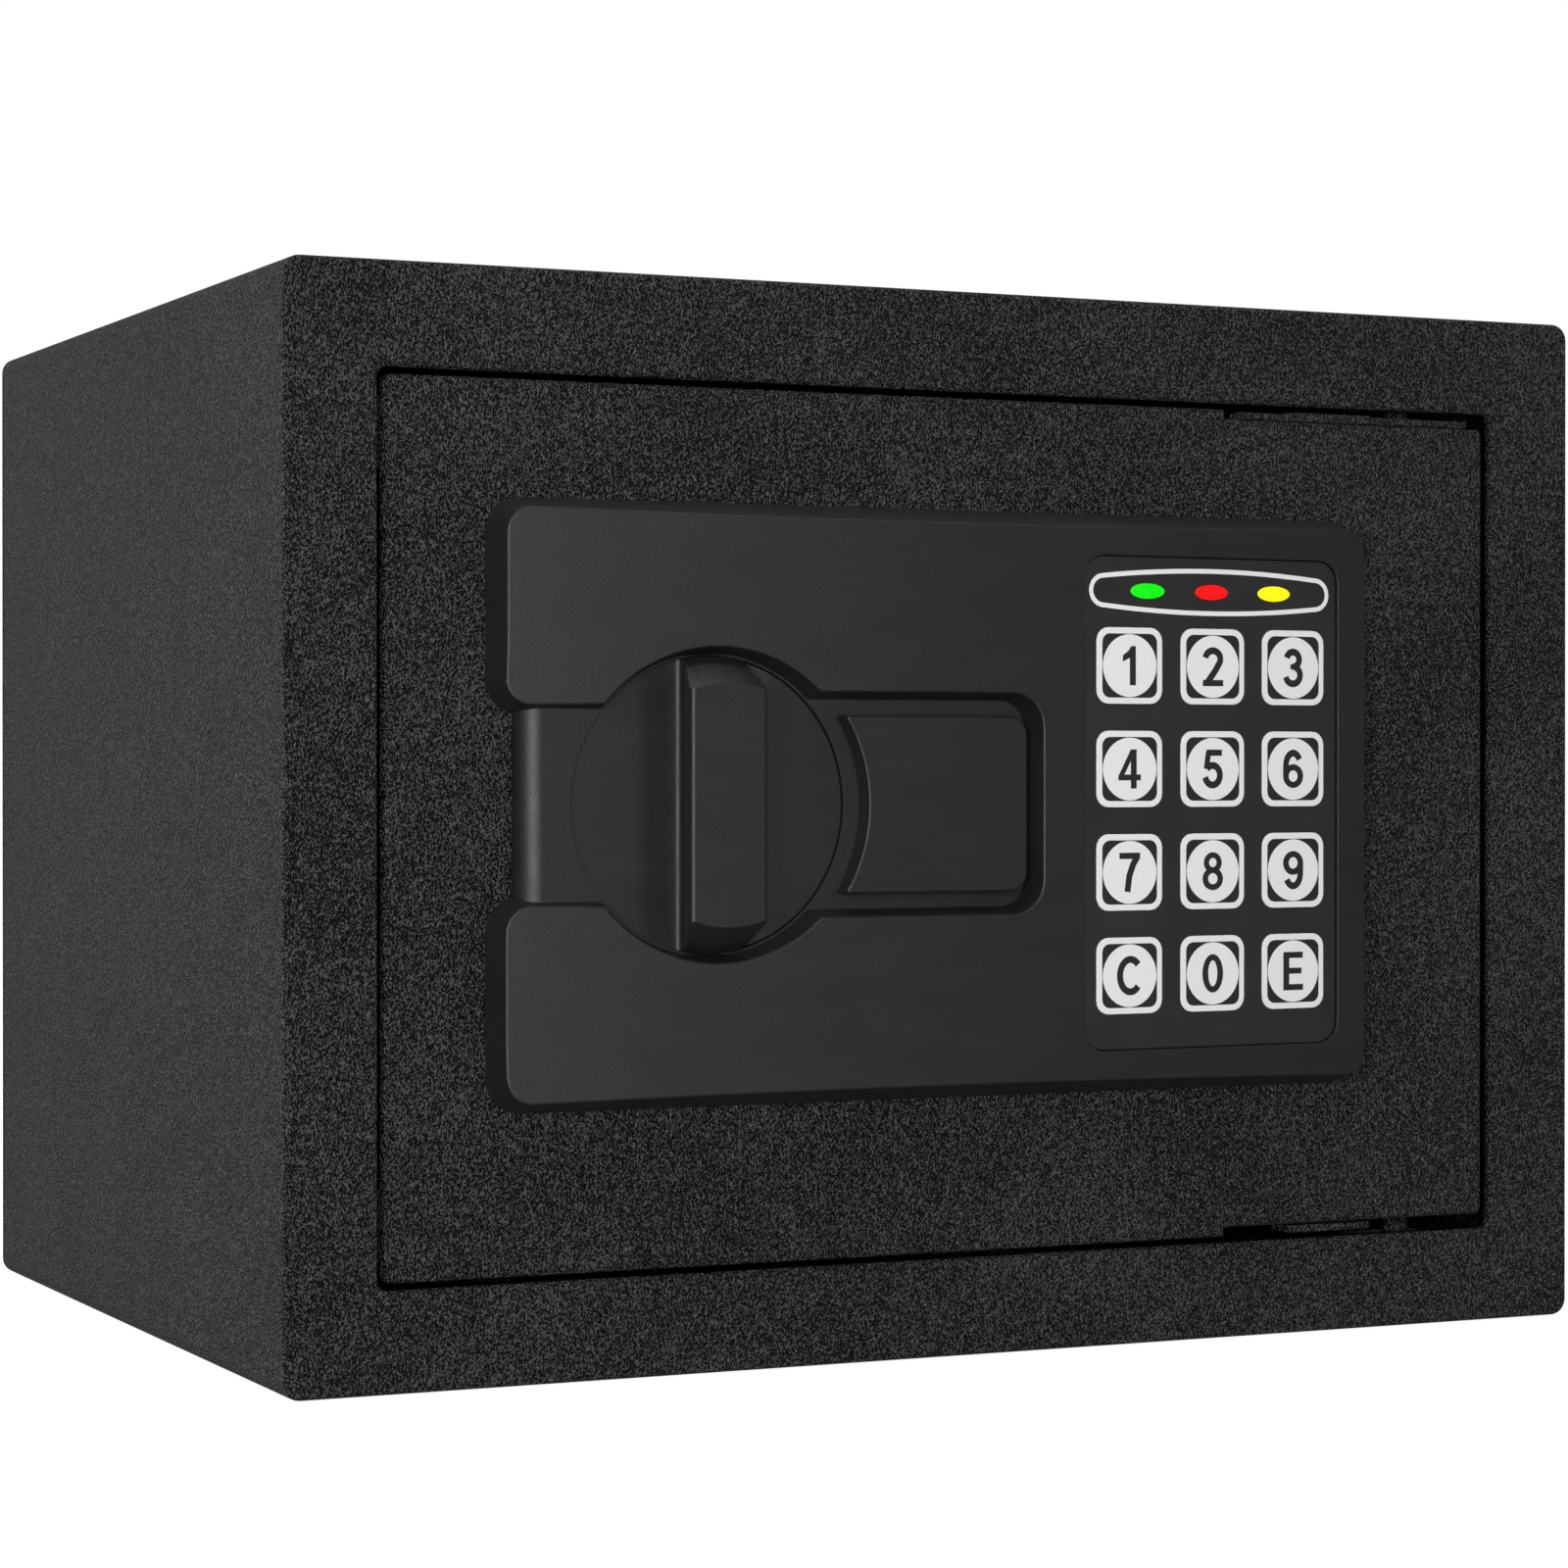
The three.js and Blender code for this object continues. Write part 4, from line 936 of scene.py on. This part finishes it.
def make_film():
    """The sunk film: holes for the keys and lights, and the printed line round the lights."""
    line = window_outline()
    inner = line.inset(WINDOW["line"])
    holes = [key_outline(name, KEY_GAP) for name in KEY_NAMES]
    holes += [led_outline(name, LED_GAP) for name in LED_NAMES]
    b = Builder()
    fronts, backs = [], []
    loops = [(film_outline(0), FILM_EDGE, 1.0)] + [(hole, FILM_HOLE_EDGE, -1.0) for hole in holes]
    for loop, edge, outward in loops:
        wall, rim = rounded_rim(b, loop, film_top, edge, outward)
        foot = b.ring(loop, [film_back(p.x) for p in loop.points])
        b.bridge(foot, wall)
        fronts.append(rim)
        backs.append(foot)
    b.fill(fronts, film_top, spacing=FILM_GRID, marks=[line, inner],
           paint=lambda places: inside([line.points, inner.points], places).astype(int))
    b.fill(backs, film_back, spacing=FILM_GRID)
    dress(b.mesh("keypad_film"), "door", "overlay_film", "keypad_overlay", extra=[INK_WHITE])


def make_key(name):
    """A key cap: a white ring and disc round a dark digit, laid flush in its dark face."""
    low, high = corners("key_" + name)
    x, z = (low.x + high.x) / 2, (low.z + high.z) / 2
    half = (high.x - low.x) / 2 - KEY_RING
    ring = rounded_box(x - half, x + half, z - half, z + half, KEY_RING_RADIUS, 5)
    disc = circle(x, z, KEY_DISC, 56)
    size = DIGIT_HEIGHT
    shapes = [[[Vector((x + p.x * size, z + p.y * size)) for p in loop] for loop in shape]
              for shape in glyph(name)]

    def paint(places):
        dark = inside([ring.points], places) & ~inside([disc.points], places)
        for shape in shapes:
            dark |= inside(shape, places)
        return dark.astype(int)

    cap = moulding("keycap_" + name, key_outline(name, 0), lambda px, pz: film_top(px) + KEY_RISE,
                   bottom=film_top(x) - KEY_DEPTH, edge=KEY_EDGE, paint=paint,
                   marks=[ring, disc] + [Outline(loop) for shape in shapes for loop in shape])
    dress(cap, "key_" + name, "key_white", "key_" + name, extra=[INK_DARK])


def make_led(name):
    """An oval lens, slightly domed, in its hole in the film."""
    low, high = corners("led_" + name)
    middle, half = (low + high) / 2, (high - low) / 2

    def top(x, z):
        spread = ((x - middle.x) / half.x) ** 2 + ((z - middle.z) / half.z) ** 2
        return film_top(x) + LENS_DOME * max(0.0, 1 - spread)

    lens = moulding("lens_" + name, led_outline(name, 0), top, bottom=film_top(middle.x) - KEY_DEPTH,
                    edge=0.05, spacing=0.6)
    dress(lens, "door", "led_" + name, "led_" + name)


# ---- Knob ----------------------------------------------------
def knob_section():
    """Half the knob's section across the grip, from its outer edge to its middle: the disc, the
    finger scoop, the hollow fillet at the grip's foot, the flared side and the rounded top edge."""
    rim, scoop, reach = DISC["rim"], DISC["scoop"], DISC["reach"]
    f, c = GRIP["fillet"], GRIP["corner"]
    floor = rim - scoop
    hollow = GRIP["foot"] + f
    points = [Vector((DISC["edge"] + 2, rim))]
    for t in np.linspace(0, 1, 15):
        drop = scoop * (1 - math.cos(t * math.pi)) / 2
        points.append(Vector((reach + (hollow - reach) * t, rim - drop)))
    lean = math.degrees(math.atan2(GRIP["top"] - GRIP["foot"], GRIP["height"] - floor))
    points += arc((hollow, floor + f), f, -90, -180 - lean, 8)[1:]
    points += arc((GRIP["top"] - c, GRIP["height"] - c), c, -lean, 90, 8)
    return points + [Vector((0, GRIP["height"]))]


def make_knob():
    half = knob_section()
    left = [Vector((-p.x, p.y)) for p in half[-2::-1]]
    start = DISC["back"] - 0.4
    section = Outline([Vector((left[-1].x, start)), Vector((half[0].x, start))] + half + left)
    reach = DISC["edge"] + 2
    b = Builder()
    rings = [b.ring(section, place) for place in np.linspace(-reach, reach, KNOB_RINGS)]
    b.bridge(*rings)
    b.fill([rings[0]], lambda x, z: -reach)
    b.fill([rings[-1]], lambda x, z: reach)
    grip = b.mesh("knob_cap", lambda x, h, z: (KNOB_X + x, FRONT - z, LOCK_Z + h))
    rise, flat = GRIP["height"], DISC["back"]
    profile = [(DISC["edge"] - 0.35, flat), (DISC["edge"], flat + 0.35), (DISC["edge"], GRIP["shoulder"]),
               (GRIP["end"], rise), (GRIP["end"] - 2, rise + 2)]
    limit = turned("limit", [(radius, -h) for radius, h in profile], (KNOB_X, FRONT, LOCK_Z), steps=160)
    knob = rounded_edges(combined(grip, limit, "INTERSECT"), 0.28, 3)
    dress(knob, "knob", "panel_plastic", "knob")


# ---- Key cover and override lock -----------------------------
def cover_outline(out):
    """The cover's outline, grown by `out`: its left edge runs round the knob."""
    half = (COVER_HIGH.z - COVER_LOW.z) / 2 + out
    hollow, right, r = COVER["arc"] - out, COVER_HIGH.x + out, COVER["radius"] + out
    tip = COVER["tip"]
    reach = math.degrees(math.asin((half - tip) / hollow))
    points = arc((KNOB_X, LOCK_Z), hollow, reach, -reach, 22)
    points += [Vector((points[-1].x + tip, LOCK_Z - half))]
    points += arc((right - r, LOCK_Z - half + r), r, -90, 0, 6)
    points += arc((right - r, LOCK_Z + half - r), r, 0, 90, 6)
    points += [Vector((points[0].x + tip, LOCK_Z + half))]
    return Outline(points)


def make_cover():
    """The clip-on cover over the override lock, hollow behind."""
    foot, top, wall = FLOOR_HEIGHT + COVER["gap"], FRONT - COVER_LOW.y, COVER["wall"]
    b = Builder()
    side, rim = rounded_rim(b, cover_outline(0), lambda x, z: top, COVER["edge"])
    b.fill([rim], lambda x, z: top)
    outer = b.ring(cover_outline(0), foot)
    inner = [b.ring(cover_outline(-wall), foot), b.ring(cover_outline(-wall), top - wall)]
    b.bridge(outer, side)
    b.fill([outer, inner[0]], lambda x, z: foot)
    b.bridge(inner[0], inner[1])
    b.fill([inner[1]], lambda x, z: top - wall)
    dress(b.mesh("lock_cover"), "key_cover", "panel_plastic", "key_cover")


def make_lock():
    """The override lock's collar and its slotted plug."""
    centre = (LOCK_X, 0, LOCK_Z)
    face, tail = corners("lock_barrel")[0].y, corners("lock_barrel")[1].y
    collar = turned("lock_collar", [
        (6.35, face + 0.25), (6.6, face), (10.4, face), (10.9, face + 0.25), (11, face + 0.9),
        (9, face + 0.95), (9, tail), (6.35, tail),
    ], centre, ring=True)
    dress(collar, "door", "zinc_plate", "lock_barrel")
    face, tail = corners("lock_plug")[0].y, corners("lock_plug")[1].y
    plug = turned("plug_face", [(5.5, face), (6, face + 0.4), (6, tail)], centre)
    half, tall = KEYWAY["half"], KEYWAY["tall"]
    keyway = block("keyway", LOCK_X - half, LOCK_X + half, face - 1, face + KEYWAY["deep"],
                   LOCK_Z - tall, LOCK_Z + tall)
    plug = rounded_edges(combined(plug, keyway, "DIFFERENCE"), 0.15)
    dress(plug, "lock_plug", "brass", "lock_plug")


# ---- Bolt work and housing -----------------------------------
def make_turned_node(node, axis, body, slot, shape, steps=64):
    """A lathe piece in a CAD node's place. shape is (share of the radius, share of the length, radius
    offset, length offset) for each point."""
    low, high = corners(node)
    middle = (low + high) / 2
    along = "xyz".index(axis)
    across = [i for i in range(3) if i != along]
    radius = min((high - low)[i] for i in across) / 2
    length = high[along] - low[along]
    centre = [0 if i == along else middle[i] for i in range(3)]
    profile = [(radius * s + dr, low[along] + length * t + dl) for s, t, dr, dl in shape]
    return dress(turned(node + "_shape", profile, centre, axis, steps), body, slot, node)


BOLT = [(1, 0, -1.3, 0), (1, 0, -0.5, 0.35), (1, 0, -0.1, 1.0), (1, 0, 0, 1.7),
        (1, 1, 0, -6), (1, 1, -0.5, -5.6), (1, 1, -0.5, -4.4), (1, 1, 0, -4), (1, 1, 0, -0.4),
        (1, 1, -0.4, 0)]
PIN = [(1, 0, -0.4, 0), (1, 0, 0, 0.4), (1, 1, 0, -0.6), (1, 1, -0.6, 0)]
BUTTON = [(1, 0, 0, 0), (1, 1, 0, -0.9), (1, 1, -0.15, -0.4), (1, 1, -0.6, -0.1), (1, 1, -1.4, 0),
          (0, 1, 0.3, -0.15)]
CELL = [(1, 0, -1.2, 0.15), (1, 0, -0.5, 0), (1, 0, 0, 0.6), (1, 1, 0, -1.9), (1, 1, -0.5, -1.3),
        (1, 1, -1.2, -1.45), (0, 1, 3.0, -1.3), (0, 1, 2.7, -0.2), (0, 1, 2.4, 0)]


def mirrored(shape):
    return [(s, 1 - t, dr, -dl) for s, t, dr, dl in shape]


def make_screw(node):
    """A pan-head screw with a cross slot."""
    low, high = corners(node)
    x, z = (low.x + high.x) / 2, (low.z + high.z) / 2
    r, top = (high.x - low.x) / 2, high.y
    shape = [(0.8, low.y), (1.9, low.y + 1.1), (1.9, top - 2.2), (r, top - 2.2), (r, top - 1.5),
             (r - 0.35, top - 0.85), (r - 1.1, top - 0.35), (r - 2.2, top)]
    screw = turned(node + "_shape", shape, (x, 0, z), steps=48)
    for wide, tall in ((2.1, 0.42), (0.42, 2.1)):
        driver = block("driver", x - wide, x + wide, top - 1.1, top + 1, z - tall, z + tall)
        screw = combined(screw, driver, "DIFFERENCE")
    dress(rounded_edges(screw, 0.12, angle=50), "door", "zinc_plate", node)


def make_works():
    """Everything behind the door: turned pieces on the lathe, and the rest from its CAD shape."""
    for node in ("upper_bolt", "lower_bolt"):
        make_turned_node(node, "x", "bolts", "bright_steel", BOLT, 72)
    for node in ("upper_hinge_pin", "lower_hinge_pin"):
        make_turned_node(node, "z", "door", "powder_coat", PIN, 40)
    make_turned_node("solenoid_plunger", "z", "solenoid_plunger", "bright_steel", PIN, 40)
    make_turned_node("reset_button", "y", "reset_button", "button_red", BUTTON, 48)
    for number in range(1, 5):
        shape = CELL if number % 2 else mirrored(CELL)  # neighbours lie head to tail
        make_turned_node(f"battery_{number}", "x", "door", "cell_wrap", shape, 56)
        make_screw(f"cover_screw_{number}")
    for node, solid in frame["nodes"].items():
        if not solid.hide_render:
            refined(node)


# ---- Scene ---------------------------------------------------
SKY_LIGHT = 0.22  # the sky's strength as a light; the camera sees it white
FLOOR_REACH = 6000
SOFTBOXES = {  # where it is, where it points, its width and height, and its power
    "key_softbox": ((-0.42, -0.75, 0.12), (-0.05, 0, 0.08), (0.4, 0.4), 6.8),
    "rear_left_softbox": ((-1.3, 1.3, 0.2), (-0.1, 0, 0.08), (0.9, 0.9), 11.5),
    "rear_right_softbox": ((1.3, 1.2, 0.7), (0.1, 0, 0.08), (0.9, 0.9), 5),
    "top_softbox": ((0, 0.1, 2.2), (0, 0, 0), (1.6, 1.6), 24),
    "front_softbox": ((0.2, -1.9, 0.35), (0, 0, 0.08), (0.5, 0.7), 1.2),
}
CAMERA = {"place": (-0.2980, -0.6549, 0.0939), "yaw": 24.907, "pitch": -0.227, "lens": 92.26}


def make_camera():
    camera = bpy.data.objects.new("camera", bpy.data.cameras.new("camera"))
    camera.data.lens = CAMERA["lens"]
    camera.data.sensor_width = 36
    camera.data.clip_start = 0.01
    camera.data.clip_end = 50
    camera.location = CAMERA["place"]
    camera.rotation_euler = (math.radians(90 + CAMERA["pitch"]), 0, math.radians(-CAMERA["yaw"]))
    bpy.context.scene.collection.objects.link(camera)
    bpy.context.scene.camera = camera


def make_softbox(name, place, aim, size, power):
    """A rectangular softbox, power in watts."""
    lamp_data = bpy.data.lights.new(name, "AREA")
    lamp_data.shape = "RECTANGLE"
    lamp_data.size, lamp_data.size_y = size
    lamp_data.energy = power
    light = bpy.data.objects.new(name, lamp_data)
    light.location = place
    light.rotation_euler = (Vector(aim) - Vector(place)).to_track_quat("-Z", "Y").to_euler()
    bpy.context.scene.collection.objects.link(light)


def make_studio():
    """A white floor under a white sky, with softboxes all round. The floor gives the safe no glow."""
    scene = bpy.context.scene
    scene.view_settings.view_transform = "Standard"
    world = bpy.data.worlds.new("studio")
    world.use_nodes = True
    sky = world.node_tree.nodes["Background"]
    seen = world.node_tree.nodes.new("ShaderNodeLightPath").outputs["Is Camera Ray"]
    strength = world.node_tree.nodes.new("ShaderNodeMapRange")
    strength.inputs["To Min"].default_value = SKY_LIGHT
    world.node_tree.links.new(seen, strength.inputs["Value"])
    world.node_tree.links.new(strength.outputs["Result"], sky.inputs["Strength"])
    sky.inputs["Color"].default_value = (1, 1, 1, 1)
    scene.world = world

    b = Builder()
    outline = rounded_box(-FLOOR_REACH, FLOOR_REACH, -FLOOR_REACH, FLOOR_REACH, FLOOR_REACH / 2, 16)
    b.face(b.ring(outline, 0))
    floor = b.mesh("studio_floor", lambda x, h, y: (x, y, -0.3))
    look = Look("studio_floor", grey(0.5), 0.9, Emission_Strength=0.9)
    look.set("Emission Color", (1, 1, 1, 1))
    mottle = look.noise(400, detail=1)
    look.colours(mottle, [(0.3, grey(0.48)), (0.7, grey(0.52))])
    floor.data.materials.append(look.material)
    floor.visible_diffuse = False
    floor.visible_glossy = False

    for name, (place, aim, size, power) in SOFTBOXES.items():
        make_softbox(name, place, aim, size, power)


make_camera()
make_studio()
make_cabinet()
make_rear_panel()
make_floor_mat()
make_door()
make_upper_hinge_strap()
make_panel()
make_film()
for key_name in KEY_NAMES:
    make_key(key_name)
for led_name in LED_NAMES:
    make_led(led_name)
make_knob()
make_cover()
make_lock()
make_works()
